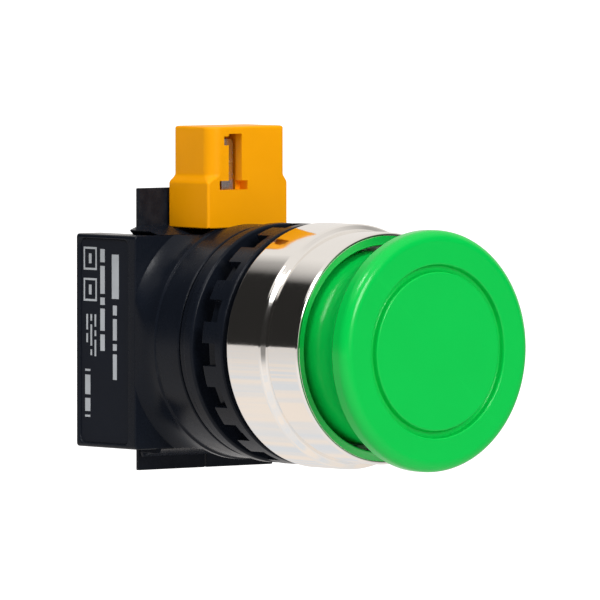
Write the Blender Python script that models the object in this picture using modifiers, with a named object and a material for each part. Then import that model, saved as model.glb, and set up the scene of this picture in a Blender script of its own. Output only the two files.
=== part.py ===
"""Industrial push button: mushroom head, chrome bezel, panel nut, contact adapter
and two snap-in contact blocks, modelled as an assembly of separate pieces.

The pieces are modelled with the button's axis standing along +Z and the head on
top: x is the width, y is the height on the panel and z is the distance in front of
the bezel's rear face.  One empty then lays the axis down, so that in the world the
head faces -Y, the safety lock points up +Z and the origin is the centre of the
bezel's rear face.
"""
import math

import bmesh
import bpy
from mathutils import Matrix

MM = 0.001

# --- clearances ---------------------------------------------------------------
GAP = 0.3 * MM               # between neighbouring pieces
CUT = 1.0 * MM               # how far a cutter runs past the face it opens

# --- threaded sleeve, from which the radii of the operator follow ----------------
SLEEVE_RADIUS = 11.0 * MM    # thread crest, for a 22.3 mm panel hole
SLEEVE_WALL = 2.4 * MM
SLEEVE_FLANGE = 2.3 * MM     # thickness of the flange held inside the bezel
SLEEVE_WEB = 3.0 * MM        # inner web that guides the plunger
THREAD_DEPTH = 0.5 * MM
THREAD_PITCH = 1.5 * MM
THREAD_TURNS = 4
TAIL_STEP = 0.6 * MM         # the plain tail is this much smaller than the thread
SNAP_GROOVE = 0.7 * MM       # depth of the groove that the lock ring's tabs enter
SNAP_SETBACK = 1.8 * MM      # the groove behind the lock ring's front
SNAP_WIDTH = 2.2 * MM
SNAP_TAB = 2.4 * MM          # length of a tab round the ring

# --- moving operator ----------------------------------------------------------------
TRAVEL = 4.0 * MM            # full press
HEAD_RADIUS = 14.48 * MM
HEAD_RIM = 2.35 * MM         # height of the rim at its edge
HEAD_STANDOFF = 9.65 * MM    # from the bezel's front rim to the head's face
HEAD_ROOF = 2.6 * MM
EDGE_ROUND = 0.7 * MM
FACE_GROOVE_RADIUS = 9.95 * MM
FACE_GROOVE_WIDTH = 0.8 * MM
FACE_GROOVE_DEPTH = 0.4 * MM
SKIRT_WALL = 2.4 * MM
PLUNGER_DISC = 1.5 * MM
DISC_STANDOFF = 0.8 * MM     # from the pressed disc to the skirt's stop
STUD_RADIUS = 2.2 * MM
TAIL_PIN_RADIUS = 2.4 * MM
PIN_LENGTH = 3.3 * MM
PUSHER_BAR = 1.7 * MM
PUSHER_HEIGHT = 6.0 * MM
CLIP_THICKNESS = 1.0 * MM
CLIP_WIDTH = 2.6 * MM
CLIP_GROOVE = 0.7 * MM       # depth of its groove in the plunger
SEAL_THICKNESS = 1.4 * MM
SEAL_HEIGHT = 1.6 * MM
SPRING_ROOM = 2.0 * MM       # ring of space between the seal and the sleeve's bore
SPRING_WIRE = 0.38 * MM      # radius of the wire
SPRING_TURNS = 5.5

# --- bezel --------------------------------------------------------------------------
BEZEL_DEPTH = 12.3 * MM
BEZEL_REAR_BAND = 5.9 * MM
NECK_GAP = 0.7 * MM
BEZEL_WALL = 1.65 * MM
BEZEL_STEP = 0.75 * MM
BEZEL_LIP = 0.35 * MM
FUNNEL_DEPTH = 1.0 * MM
BEZEL_REAR_WALL = 1.2 * MM

# --- panel side rings ---------------------------------------------------------------
GASKET_SEAT = 0.8 * MM
GASKET_PROUD = 0.1 * MM
WASHER_THICKNESS = 0.4 * MM
WASHER_FRONT = 0.35 * MM     # behind the bezel's rear face
WASHER_WIDTH = 2.6 * MM
RING_WALL = 3.3 * MM
RING_LENGTH = 3.8 * MM
RING_BAND = 1.3 * MM         # unbroken front part of the ring
RING_NOTCHES = 17
NOTCH_WIDTH = 2.8 * MM
NOTCH_DEPTH = 1.2 * MM
RING_RUN = 1.5 * MM          # one thread pitch of free run

# --- adapter ------------------------------------------------------------------------
NOSE_CLEAR = 0.5 * MM        # between the run-back ring and the nose
NOSE_FLANGE = 1.6 * MM
NOSE_NECK = 1.0 * MM
NOSE_SPIGOT = 1.4 * MM
LOCK_RING_WALL = 1.9 * MM
COLLAR_WALL = 1.35 * MM
COLLAR_LENGTH = 8.1 * MM
COLLAR_BAND = 4.3 * MM       # up to the fine edge on the collar
COLLAR_STEP = 0.2 * MM
FLARE = 1.0 * MM             # how far the collar's foot spreads on the block
FLARE_RISE = 3.0 * MM        # height of the foot above the block
BLOCK_WIDTH = 28.8 * MM
BLOCK_HEIGHT = 26.0 * MM
FRONT_WALL = 1.5 * MM        # block face to contact blocks
COLLAR_FLOOR = 0.9 * MM      # how far the front wall reaches into the collar
LABEL_DEPTH = 0.3 * MM
LABEL_MARGIN_FRONT = 1.4 * MM
LABEL_MARGIN_EDGE = 0.5 * MM
LABEL_CORNER = 0.9 * MM
PEDESTAL_RISE = 1.1 * MM
PEDESTAL_OVERHANG = 0.8 * MM

# --- locking lever and safety lock ---------------------------------------------------
LEVER_X = -2.0 * MM
LEVER_WIDTH = 1.8 * MM
LEVER_THICKNESS = 0.8 * MM
LEVER_REACH = 10.4 * MM      # above the collar
LEVER_SET = 0.5 * MM         # in front of the bayonet ring's rear face
LOCK_WIDTH = 12.5 * MM
LOCK_TOP_WIDTH = 11.5 * MM
LOCK_DEPTH = 7.7 * MM
LOCK_TOP_DEPTH = 7.35 * MM
LOCK_HEIGHT = 12.1 * MM
LOCK_SHOULDER = 5.5 * MM     # height of the wide lower part
LOCK_SLOPE = 1.2 * MM        # height of the chamfer above it
LOCK_CORNER = 0.9 * MM
LOCK_FACE_WALL = 1.2 * MM
LOCK_ROOF = 0.9 * MM
LOCK_SINK = 0.2 * MM         # how far the lock reaches into the collar
LOCK_SEAT_DEPTH = 0.55 * MM  # flat cut into the collar under the lock
SLIT_WIDTH = 2.04 * MM
SLIT_FOOT_WIDTH = 4.4 * MM
SLIT_FOOT_HEIGHT = 1.1 * MM
SLIT_BOTTOM = 4.4 * MM       # above the lock's lower edge
EYE_WIDTH = 1.4 * MM
EYE_HEIGHT = 1.1 * MM

# --- contact blocks ------------------------------------------------------------------
CONTACT_WIDTH = 10.4 * MM
CONTACT_HEIGHT = 24.0 * MM
CONTACT_WALL = 1.0 * MM
COVER_THICKNESS = 1.0 * MM
COVER_RECESS = 0.1 * MM      # cover inside the block's rear face
STRIP_ROOM = 0.43 * MM       # between the rear strip and the housing's rear edge
EAR_THICKNESS = 0.6 * MM
EAR_CLEAR = 0.4 * MM         # between the safety lock and the ears
EAR_TOP = 18.6 * MM
EAR_BOTTOM = 15.8 * MM
WIRE_GATE_WIDTH = 5.0 * MM
WIRE_GATE_DEPTH = 3.2 * MM
CARRIER_WIDTH = 5.0 * MM
CARRIER_HEIGHT = 4.0 * MM
WINDOW_WIDTH = 3.2 * MM
BRIDGE_WIDTH = 2.4 * MM
BRIDGE_END = 0.25 * MM       # past the contact tip
METAL = 0.6 * MM             # contact sheet
TIP_WIDTH = 1.5 * MM
TIP_HEIGHT = 0.25 * MM
STRIP_WIDTH = 4.6 * MM
NO_BRIDGE_BACK = 3.8 * MM    # rest place of the bridges behind the housing's front
NC_BRIDGE_BACK = 4.5 * MM
CONTACT_SPRING_ROOM = 3.0 * MM
CONTACT_SPRING_RADIUS = 0.95 * MM
CONTACT_SPRING_WIRE = 0.17 * MM
CONTACT_SPRING_TURNS = 3.5
CLAMP_WALL = 0.475 * MM      # thinnest part of the clamp plate beside its hole
SCREW_RADIUS = 1.5 * MM
SCREW_HEAD_RADIUS = 2.15 * MM
SCREW_HEAD = 1.7 * MM
SCREW_BEVEL = 0.5 * MM
SCREW_SLOT = 0.8 * MM         # width and depth of the driver slot
SCREW_LENGTH = 4.6 * MM
SCREW_RECESS = 0.1 * MM      # screw head inside the cover's rear face
DRIVER_CLEAR = 0.35 * MM     # around the screw head

# --- smoothness -----------------------------------------------------------------------
WIDE_STEPS = 44
FLARE_STEPS = 40             # unlike the collar's, so that no edges coincide
RING_STEPS = 34
SMALL_STEPS = 20

# --- places that follow from the sizes above --------------------------------------------
sleeve_bore = SLEEVE_RADIUS - SLEEVE_WALL
disc_radius = sleeve_bore - GAP - 0.1 * MM
skirt_bore = disc_radius + 1.1 * MM
neck_radius = skirt_bore + SKIRT_WALL
bezel_bore = neck_radius + NECK_GAP
bezel_front_radius = bezel_bore + BEZEL_WALL
bezel_rear_radius = bezel_front_radius + BEZEL_STEP
pocket_radius = bezel_rear_radius - BEZEL_REAR_WALL
thread_bore = SLEEVE_RADIUS + GAP

flange_rear = GASKET_SEAT + GAP
flange_front = flange_rear + SLEEVE_FLANGE
skirt_end = flange_front + TRAVEL + 2 * GAP
face_z = BEZEL_DEPTH + HEAD_STANDOFF
groove_z = face_z - FACE_GROOVE_DEPTH
roof_z = face_z - HEAD_ROOF
plunger_radius = sleeve_bore - SPRING_ROOM - SEAL_THICKNESS - 2 * GAP
disc_rear = flange_front + TRAVEL + SLEEVE_WEB + DISC_STANDOFF
disc_front = disc_rear + PLUNGER_DISC
web_rear = -SLEEVE_WEB

washer_rear = -WASHER_FRONT - WASHER_THICKNESS
ring_front = washer_rear - GAP
ring_rear = ring_front - RING_LENGTH
ring_radius = thread_bore + RING_WALL
nose_front = ring_rear - RING_RUN - NOSE_CLEAR
nose_flange_rear = nose_front - NOSE_FLANGE
nose_rear = nose_flange_rear - NOSE_NECK
spigot_rear = nose_rear - NOSE_SPIGOT
collar_front = nose_rear - GAP
block_front = collar_front - COLLAR_LENGTH
collar_floor = block_front + COLLAR_FLOOR
tail_radius = SLEEVE_RADIUS - TAIL_STEP
tail_end = collar_floor + 0.5 * MM
lock_ring_bore = tail_radius + GAP
lock_ring_radius = lock_ring_bore + LOCK_RING_WALL
collar_bore = lock_ring_radius + GAP
collar_radius = collar_bore + COLLAR_WALL
lock_ring_front = spigot_rear - GAP
lock_ring_rear = collar_floor + GAP

lever_rear = lock_ring_rear + LEVER_SET
lever_front = lever_rear + LEVER_THICKNESS
lock_front = lever_front + GAP + LOCK_FACE_WALL
lock_rear = lock_front - LOCK_DEPTH
lock_bottom = max(collar_radius - LOCK_SINK, CONTACT_HEIGHT / 2 + GAP)
seat_level = collar_radius - LOCK_SEAT_DEPTH
ear_front = lock_rear - EAR_CLEAR
ear_rear = ear_front - EAR_THICKNESS

bridge_travel = TRAVEL * 2 / 3
overtravel = TRAVEL - bridge_travel
contact_front = block_front - FRONT_WALL - GAP
no_bridge_rear = contact_front - NO_BRIDGE_BACK
nc_bridge_rear = contact_front - NC_BRIDGE_BACK
no_tip_face = no_bridge_rear - TIP_HEIGHT - bridge_travel - GAP
nc_tip_face = nc_bridge_rear + METAL + TIP_HEIGHT + GAP
housing_rear = no_tip_face - TIP_HEIGHT - METAL - STRIP_ROOM
cover_front = housing_rear - GAP
cover_rear = cover_front - COVER_THICKNESS
block_rear = cover_rear - COVER_RECESS
contact_x = GAP / 2 + CONTACT_WIDTH / 2
bay_half = CONTACT_WIDTH + GAP * 1.5
pusher_rear = contact_front + TRAVEL + 2 * GAP
pusher_front = pusher_rear + PUSHER_BAR
pusher_half = math.sqrt((sleeve_bore - GAP) ** 2 - (PUSHER_HEIGHT / 2) ** 2)
carrier_front = pusher_rear - GAP

screw_seat = cover_rear + SCREW_RECESS + SCREW_HEAD
clamp_rear = screw_seat + GAP
pad_rear = clamp_rear + METAL + GAP
pad_front = pad_rear + METAL
clamp_half = SCREW_RADIUS + GAP + CLAMP_WALL
strip_far = CONTACT_HEIGHT / 2 - CONTACT_WALL - GAP
terminal_y = strip_far - clamp_half
strip_leg = terminal_y - clamp_half - GAP - METAL
tip_high = strip_leg - GAP
tip_low = tip_high - TIP_WIDTH


# --- scene ------------------------------------------------------------------------------
def empty_scene():
    """Remove every object, and return collections for the parts and the cutters."""
    for old in list(bpy.data.objects):
        bpy.data.objects.remove(old, do_unlink=True)
    parts = bpy.data.collections.new("push_button")
    cutters = bpy.data.collections.new("cutters")
    for collection in (parts, cutters):
        bpy.context.scene.collection.children.link(collection)
    return parts, cutters


PARTS, CUTTERS = empty_scene()
AXIS = bpy.data.objects.new("button_axis", None)
PARTS.objects.link(AXIS)
AXIS.rotation_euler = (math.radians(90.0), 0.0, 0.0)


def make_material(name, color, roughness, metallic=0.0):
    """A Principled material with one colour and finish."""
    material = bpy.data.materials.new(name)
    material.use_nodes = True
    shader = material.node_tree.nodes["Principled BSDF"]
    shader.inputs["Base Color"].default_value = (*color, 1.0)
    shader.inputs["Roughness"].default_value = roughness
    shader.inputs["Metallic"].default_value = metallic
    return material


MATERIALS = {
    "green_gloss": make_material("green_gloss", (0.01, 0.56, 0.08), 0.25),
    "yellow_plastic": make_material("yellow_plastic", (1.0, 0.42, 0.0), 0.4),
    "black_plastic": make_material("black_plastic", (0.015, 0.016, 0.02), 0.5),
    "grey_plastic": make_material("grey_plastic", (0.25, 0.26, 0.27), 0.5),
    "chrome": make_material("chrome", (0.8, 0.8, 0.8), 0.08, 1.0),
    "die_cast": make_material("die_cast", (0.45, 0.45, 0.46), 0.4, 1.0),
    "zinc_steel": make_material("zinc_steel", (0.6, 0.6, 0.62), 0.3, 1.0),
    "spring_steel": make_material("spring_steel", (0.5, 0.5, 0.52), 0.35, 1.0),
    "silver_alloy": make_material("silver_alloy", (0.75, 0.73, 0.7), 0.3, 1.0),
    "brass": make_material("brass", (0.7, 0.5, 0.2), 0.35, 1.0),
    "rubber": make_material("rubber", (0.02, 0.02, 0.02), 0.8),
}


# --- modelling helpers -------------------------------------------------------------------
def adopt(obj, finish=None):
    """Put an object among the parts if it has a finish, otherwise among the cutters."""
    obj.parent = AXIS
    if finish is None:
        CUTTERS.objects.link(obj)
        obj.hide_render = True
        obj.display_type = "WIRE"
    else:
        PARTS.objects.link(obj)
        obj.data.materials.append(MATERIALS[finish])
    return obj


def box(name, low, high, finish=None):
    """A box between two corners."""
    mesh = bpy.data.meshes.new(name)
    form = bmesh.new()
    size = [b - a for a, b in zip(low, high)]
    centre = [(a + b) / 2 for a, b in zip(low, high)]
    bmesh.ops.create_cube(form, size=1.0, matrix=Matrix.LocRotScale(centre, None, size))
    form.to_mesh(mesh)
    form.free()
    return adopt(bpy.data.objects.new(name, mesh), finish)


def turned(name, profile, finish=None, steps=WIDE_STEPS, closed=True):
    """A profile of (radius, z) points, running down its outer side, turned about z."""
    mesh = bpy.data.meshes.new(name)
    points = [(radius, 0.0, z) for radius, z in profile]
    edges = [(i, i + 1) for i in range(len(points) - 1)]
    if closed:
        edges.append((len(points) - 1, 0))
    mesh.from_pydata(points, edges, [])
    obj = adopt(bpy.data.objects.new(name, mesh), finish)
    screw = obj.modifiers.new("turn", "SCREW")
    screw.axis = "Z"
    screw.steps = steps
    screw.render_steps = steps
    screw.use_merge_vertices = True
    screw.merge_threshold = 0.00001
    screw.use_smooth_shade = True
    return obj


def rod(name, radius, low, high, x=0.0, y=0.0, finish=None, steps=SMALL_STEPS):
    """A cylinder along z."""
    mesh = bpy.data.meshes.new(name)
    form = bmesh.new()
    place = Matrix.Translation((x, y, (low + high) / 2))
    bmesh.ops.create_cone(form, cap_ends=True, segments=steps, radius1=radius,
                          radius2=radius, depth=high - low, matrix=place)
    form.to_mesh(mesh)
    form.free()
    return adopt(bpy.data.objects.new(name, mesh), finish)


def plate(name, outline, low, high, finish=None, plane="XY"):
    """A flat outline given thickness: XY outlines rise along z, YZ outlines along x.

    The curve is drawn in millimetres, because Blender's fill drops corners that lie
    closer together than its fixed tolerance in metres.  Each flat side is then made
    one face again, so that no sliver triangle is left for a boolean to lose."""
    curve = bpy.data.curves.new(name, "CURVE")
    curve.dimensions = "2D"
    curve.fill_mode = "BOTH"
    curve.extrude = (high - low) / 2 / MM
    spline = curve.splines.new("POLY")
    spline.points.add(len(outline) - 1)
    for point, (u, v) in zip(spline.points, outline):
        point.co = (u / MM, v / MM, 0.0, 1.0)
    spline.use_cyclic_u = True
    shape = bpy.data.objects.new(name + "_outline", curve)
    bpy.context.scene.collection.objects.link(shape)
    middle = (low + high) / 2
    turn = Matrix.Identity(4)
    if plane == "YZ":
        turn = Matrix(((0, 0, 1, 0), (1, 0, 0, 0), (0, 1, 0, 0), (0, 0, 0, 1)))
    shape.matrix_world = turn @ Matrix.Translation((0.0, 0.0, middle)) @ Matrix.Scale(MM, 4)
    mesh = mesh_of_curve(shape, name)
    form = bmesh.new()
    form.from_mesh(mesh)
    bmesh.ops.dissolve_limit(form, angle_limit=0.001, verts=form.verts, edges=form.edges)
    form.to_mesh(mesh)
    form.free()
    return adopt(bpy.data.objects.new(name, mesh), finish)


def mesh_of_curve(shape, name):
    """The closed mesh of a curve object, in its place; the curve is removed."""
    bpy.context.view_layer.update()
    evaluated = shape.evaluated_get(bpy.context.evaluated_depsgraph_get())
    mesh = bpy.data.meshes.new_from_object(evaluated)
    mesh.name = name
    mesh.transform(shape.matrix_world)
    form = bmesh.new()
    form.from_mesh(mesh)
    bmesh.ops.remove_doubles(form, verts=form.verts, dist=0.000001)
    bmesh.ops.recalc_face_normals(form, faces=form.faces)
    form.to_mesh(mesh)
    form.free()
    bpy.data.objects.remove(shape, do_unlink=True)
    return mesh


def coil(name, radius, wire, low, high, turns, finish, x=0.0, per_turn=12):
    """A helical spring between two heights, measured outside its wire."""
    curve = bpy.data.curves.new(name, "CURVE")
    curve.dimensions = "3D"
    curve.bevel_depth = wire
    curve.bevel_resolution = 2
    curve.use_fill_caps = True
    spline = curve.splines.new("POLY")
    count = int(turns * per_turn) + 1
    spline.points.add(count - 1)
    for i, point in enumerate(spline.points):
        angle = 2 * math.pi * i / per_turn
        z = low + wire + (high - low - 2 * wire) * i / (count - 1)
        point.co = (x + radius * math.cos(angle), radius * math.sin(angle), z, 1.0)
    shape = bpy.data.objects.new(name + "_path", curve)
    bpy.context.scene.collection.objects.link(shape)
    obj = adopt(bpy.data.objects.new(name, mesh_of_curve(shape, name)), finish)
    obj.data.shade_smooth()
    return obj


def cut(obj, *cutters, solver="EXACT"):
    """Take each cutter away from an object."""
    for cutter in cutters:
        boolean(obj, cutter, "DIFFERENCE", solver)


def join(obj, *others, solver="EXACT"):
    """Fuse each of the others, which are guides, into an object."""
    for other in others:
        boolean(obj, other, "UNION", solver)


def boolean(obj, other, operation, solver):
    """Add one boolean to an object."""
    modifier = obj.modifiers.new(other.name, "BOOLEAN")
    modifier.operation = operation
    modifier.solver = solver
    modifier.object = other


def washer(name, inner, outer, top, bottom, finish, steps=WIDE_STEPS):
    """A plain flat ring."""
    profile = [(inner, top), (outer, top), (outer, bottom), (inner, bottom)]
    return turned(name, profile, finish, steps)


def arc(centre, radius, start, end, count):
    """Points of an arc, angles in degrees from +x towards +y."""
    step = (end - start) / count
    angles = [math.radians(start + step * i) for i in range(count + 1)]
    return [(centre[0] + radius * math.cos(a), centre[1] + radius * math.sin(a)) for a in angles]


def rounded_rectangle(low, high, radius, count=4):
    """Outline of a rectangle with round corners, counter-clockwise."""
    (u0, v0), (u1, v1) = low, high
    corners = (((u1 - radius, v1 - radius), 0), ((u0 + radius, v1 - radius), 90),
               ((u0 + radius, v0 + radius), 180), ((u1 - radius, v0 + radius), 270))
    return [p for centre, start in corners for p in arc(centre, radius, start, start + 90, count)]


# --- operator -------------------------------------------------------------------------------
def button_cap():
    """Mushroom head on a hollow skirt, with a socket for the plunger."""
    rim_low = face_z - HEAD_RIM
    edge = (HEAD_RADIUS - EDGE_ROUND, face_z - EDGE_ROUND)
    flare_low = BEZEL_DEPTH + 0.6 * MM
    sweep = HEAD_RADIUS - neck_radius
    rise = rim_low - flare_low
    flare = [(neck_radius + sweep * t ** 2.2, flare_low + rise * t) for t in (0.85, 0.7, 0.5, 0.25)]
    socket = STUD_RADIUS + GAP
    boss = socket + 1.7 * MM
    groove_in = FACE_GROOVE_RADIUS - FACE_GROOVE_WIDTH / 2
    groove_out = FACE_GROOVE_RADIUS + FACE_GROOVE_WIDTH / 2
    profile = [(0.0, face_z), (groove_in, face_z), (groove_in, groove_z), (groove_out, groove_z),
               (groove_out, face_z)]
    profile += arc(edge, EDGE_ROUND, 90, 0, 3)
    profile += [(HEAD_RADIUS, rim_low)] + flare
    profile += [(neck_radius, flare_low), (neck_radius, skirt_end), (skirt_bore, skirt_end),
                (skirt_bore, roof_z), (boss, roof_z), (boss, disc_front + GAP),
                (socket, disc_front + GAP), (socket, roof_z), (0.0, roof_z)]
    turned("button_cap", profile, "green_gloss", closed=False)


def plunger():
    """Turned plunger: stud, spring disc, guide rod, clip groove and tail pin."""
    stud_top = roof_z - 2 * GAP
    clip_bottom = web_rear - CLIP_THICKNESS - 2 * GAP
    clip_core = plunger_radius - CLIP_GROOVE
    pin_top = pusher_front + PIN_LENGTH
    pin_bottom = pusher_front - 0.3 * MM
    profile = [(0.0, stud_top), (STUD_RADIUS, stud_top), (STUD_RADIUS, disc_front),
               (disc_radius, disc_front), (disc_radius, disc_rear), (plunger_radius, disc_rear),
               (plunger_radius, web_rear), (clip_core, web_rear), (clip_core, clip_bottom),
               (plunger_radius, clip_bottom), (plunger_radius, pin_top), (TAIL_PIN_RADIUS, pin_top),
               (TAIL_PIN_RADIUS, pin_bottom), (0.0, pin_bottom)]
    turned("plunger", profile, "grey_plastic", steps=28, closed=False)
    retaining_clip(clip_core + GAP, web_rear - GAP)
    pusher(pin_top - GAP, pin_bottom - GAP)


def retaining_clip(bore, top):
    """C-shaped clip that stops the plunger behind the web."""
    clip = washer("retaining_clip", bore, bore + CLIP_WIDTH, top, top - CLIP_THICKNESS,
                  "spring_steel", steps=24)
    reach = bore + CLIP_WIDTH + CUT
    mouth = box("clip_mouth", (-bore * 0.6, -reach, top - CLIP_THICKNESS - CUT),
                (bore * 0.6, 0.0, top + CUT))
    cut(clip, mouth)


def pusher(top, pocket_floor):
    """Cross bar on the plunger's tail that presses both contact carriers."""
    bar = box("pusher", (-pusher_half, -PUSHER_HEIGHT / 2, pusher_rear),
              (pusher_half, PUSHER_HEIGHT / 2, pusher_front), "black_plastic")
    hub = rod("pusher_hub", plunger_radius, pusher_rear + PUSHER_BAR / 2, top)
    pocket = rod("pusher_pocket", TAIL_PIN_RADIUS + GAP, pocket_floor, top + CUT)
    join(bar, hub)
    cut(bar, pocket)


def operator_sleeve():
    """Threaded barrel with a flange in the bezel and a web inside."""
    flange_radius = pocket_radius - GAP
    root = SLEEVE_RADIUS - THREAD_DEPTH
    seal_bore = plunger_radius + GAP + SEAL_THICKNESS + GAP
    seal_floor = -SEAL_HEIGHT - GAP
    threads = []
    for turn in range(THREAD_TURNS):
        crest = ring_front - 0.2 * MM - turn * THREAD_PITCH
        threads += [(SLEEVE_RADIUS, crest), (SLEEVE_RADIUS, crest - THREAD_PITCH * 0.3),
                    (root, crest - THREAD_PITCH * 0.65)]
    tail_top = threads[-1][1] - THREAD_PITCH * 0.35
    groove_top = lock_ring_front - SNAP_SETBACK
    groove_bottom = groove_top - SNAP_WIDTH
    groove_radius = tail_radius - SNAP_GROOVE
    profile = [(sleeve_bore, flange_front), (flange_radius, flange_front),
               (flange_radius, flange_rear), (SLEEVE_RADIUS, flange_rear)]
    profile += threads
    profile += [(tail_radius, tail_top), (tail_radius, groove_top), (groove_radius, groove_top),
                (groove_radius, groove_bottom), (tail_radius, groove_bottom), (tail_radius, tail_end),
                (sleeve_bore, tail_end), (sleeve_bore, web_rear), (plunger_radius + GAP, web_rear),
                (plunger_radius + GAP, seal_floor), (seal_bore, seal_floor), (seal_bore, 0.0),
                (sleeve_bore, 0.0)]
    turned("operator_sleeve", profile, "die_cast", steps=36)


def shaft_seal():
    """Rubber lip seal in the web, around the plunger."""
    inner = plunger_radius + GAP
    outer = inner + SEAL_THICKNESS - GAP
    lip = SEAL_HEIGHT * 0.3
    profile = [(inner, 0.0), (outer - lip, 0.0), (outer, -lip), (outer, -SEAL_HEIGHT),
               (inner + lip, -SEAL_HEIGHT), (inner + lip, -SEAL_HEIGHT + lip), (inner, -lip)]
    turned("shaft_seal", profile, "rubber", steps=24)


def return_spring():
    """Compression spring between the sleeve's web and the plunger's disc."""
    seal_edge = plunger_radius + 2 * GAP + SEAL_THICKNESS
    radius = (seal_edge + sleeve_bore) / 2
    coil("return_spring", radius, SPRING_WIRE, GAP, disc_rear - GAP, SPRING_TURNS, "spring_steel")


def bezel():
    """Chromed ring with a stepped outside, a funnel mouth and a flange pocket."""
    shoulder = BEZEL_REAR_BAND
    front = bezel_front_radius - 0.1 * MM
    round_off = 0.35 * MM
    rear_edge = 0.3 * MM
    profile = [(front - round_off - BEZEL_LIP, BEZEL_DEPTH)]
    profile += arc((front - round_off, BEZEL_DEPTH - round_off), round_off, 90, 0, 3)
    profile += [(bezel_front_radius, shoulder + 0.75 * MM)]
    profile += arc((bezel_rear_radius - BEZEL_STEP, shoulder), BEZEL_STEP, 60, 0, 2)
    profile += [(bezel_rear_radius, rear_edge), (bezel_rear_radius - rear_edge, 0.0),
                (pocket_radius, 0.0), (pocket_radius, flange_front + GAP),
                (bezel_bore, flange_front + GAP), (bezel_bore, BEZEL_DEPTH - FUNNEL_DEPTH)]
    turned("bezel", profile, "chrome")


def panel_rings():
    """Gasket in the bezel, washer behind the panel and the notched ring nut."""
    washer("panel_gasket", thread_bore, pocket_radius - GAP, GASKET_SEAT, -GASKET_PROUD, "rubber",
           steps=RING_STEPS)
    washer("thrust_washer", thread_bore, thread_bore + WASHER_WIDTH, -WASHER_FRONT, washer_rear,
           "grey_plastic", steps=RING_STEPS)
    locking_ring()


def locking_ring():
    """Ring nut with an unbroken front band and notches open to the rear."""
    bevel = 0.25 * MM
    profile = [(thread_bore, ring_front), (ring_radius - bevel, ring_front),
               (ring_radius, ring_front - bevel), (ring_radius, ring_rear), (thread_bore, ring_rear)]
    ring = turned("locking_ring", profile, "black_plastic", steps=RING_STEPS * 2)
    mesh = bpy.data.meshes.new("ring_notches")
    form = bmesh.new()
    depth = RING_LENGTH - RING_BAND + CUT
    centre_radius = ring_radius - NOTCH_DEPTH + (NOTCH_DEPTH + CUT) / 2
    middle_z = ring_rear - CUT + depth / 2
    first = math.radians(180.0 + 3.5)
    for i in range(RING_NOTCHES):
        turn = Matrix.Rotation(first + 2 * math.pi * i / RING_NOTCHES, 4, "Z")
        size = Matrix.Diagonal((NOTCH_DEPTH + CUT, NOTCH_WIDTH, depth, 1.0))
        place = turn @ Matrix.Translation((centre_radius, 0.0, middle_z)) @ size
        bmesh.ops.create_cube(form, size=1.0, matrix=place)
    form.to_mesh(mesh)
    form.free()
    cut(ring, adopt(bpy.data.objects.new("ring_notches", mesh)))


# --- adapter --------------------------------------------------------------------------------
def adapter_nose():
    """Flanged bush that closes the adapter's collar around the thread."""
    flange_radius = collar_radius + GAP
    edge = 0.35 * MM
    spigot_radius = collar_bore - GAP
    profile = [(thread_bore, nose_front), (flange_radius - edge, nose_front),
               (flange_radius, nose_front - edge), (flange_radius, nose_flange_rear),
               (collar_radius, nose_flange_rear), (collar_radius, nose_rear),
               (spigot_radius, nose_rear), (spigot_radius, spigot_rear), (thread_bore, spigot_rear)]
    turned("adapter_nose", profile, "black_plastic")


def adapter_body():
    """Round collar on a square block with two label cheeks and a bay for contacts.

    Its solids meet along many shared planes, which EXACT leaves open."""
    half_width = BLOCK_WIDTH / 2
    half_height = BLOCK_HEIGHT / 2
    outline = rounded_rectangle((-half_width, -half_height), (half_width, half_height), 0.4 * MM, 2)
    body = plate("adapter_body", outline, block_rear, block_front, "black_plastic")
    join(body, flare_foot(half_width, half_height), pedestal(1.0, half_height),
         pedestal(-1.0, half_height), collar(), solver="MANIFOLD")
    cut(body, *adapter_hollows(), label_recess(-1.0, half_width, half_height),
        label_recess(1.0, half_width, half_height), solver="MANIFOLD")


def collar():
    """Solid collar with a fine step in its side."""
    step_z = collar_front - COLLAR_BAND
    full = collar_radius + COLLAR_STEP
    profile = [(0.0, collar_front), (collar_radius, collar_front), (collar_radius, step_z),
               (full, step_z - COLLAR_STEP), (full, block_front - CUT), (0.0, block_front - CUT)]
    return turned("collar", profile, closed=False)


def flare_foot(half_width, half_height):
    """Concave foot of the collar, trimmed to the block's outline."""
    start = collar_radius + COLLAR_STEP
    curve = [(start + FLARE * t ** 2, block_front + FLARE_RISE * (1 - t)) for t in (0.4, 0.7, 0.9, 1.0)]
    profile = [(0.0, block_front + FLARE_RISE), (start - GAP, block_front + FLARE_RISE)] + curve
    profile += [(start + FLARE, block_front - CUT), (0.0, block_front - CUT)]
    foot = turned("flare_foot", profile, steps=FLARE_STEPS, closed=False)
    frame = box("flare_frame", (-half_width, -half_height, block_front - 2 * CUT),
                (half_width, half_height, block_front + FLARE_RISE + CUT))
    boolean(foot, frame, "INTERSECT", "MANIFOLD")
    return foot


def pedestal(side, half_height):
    """Wedge on the block's top or bottom, rising towards the contact blocks' ears."""
    half = bay_half + PEDESTAL_OVERHANG
    rear = ear_front + GAP
    low = half_height - CUT
    outline = [(side * low, rear), (side * low, block_front - CUT), (side * half_height, block_front),
               (side * (half_height + PEDESTAL_RISE), rear + 0.3 * MM),
               (side * (half_height + PEDESTAL_RISE), rear)]
    return plate("pedestal_" + ("top" if side > 0 else "bottom"), outline, -half, half, plane="YZ")


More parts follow.
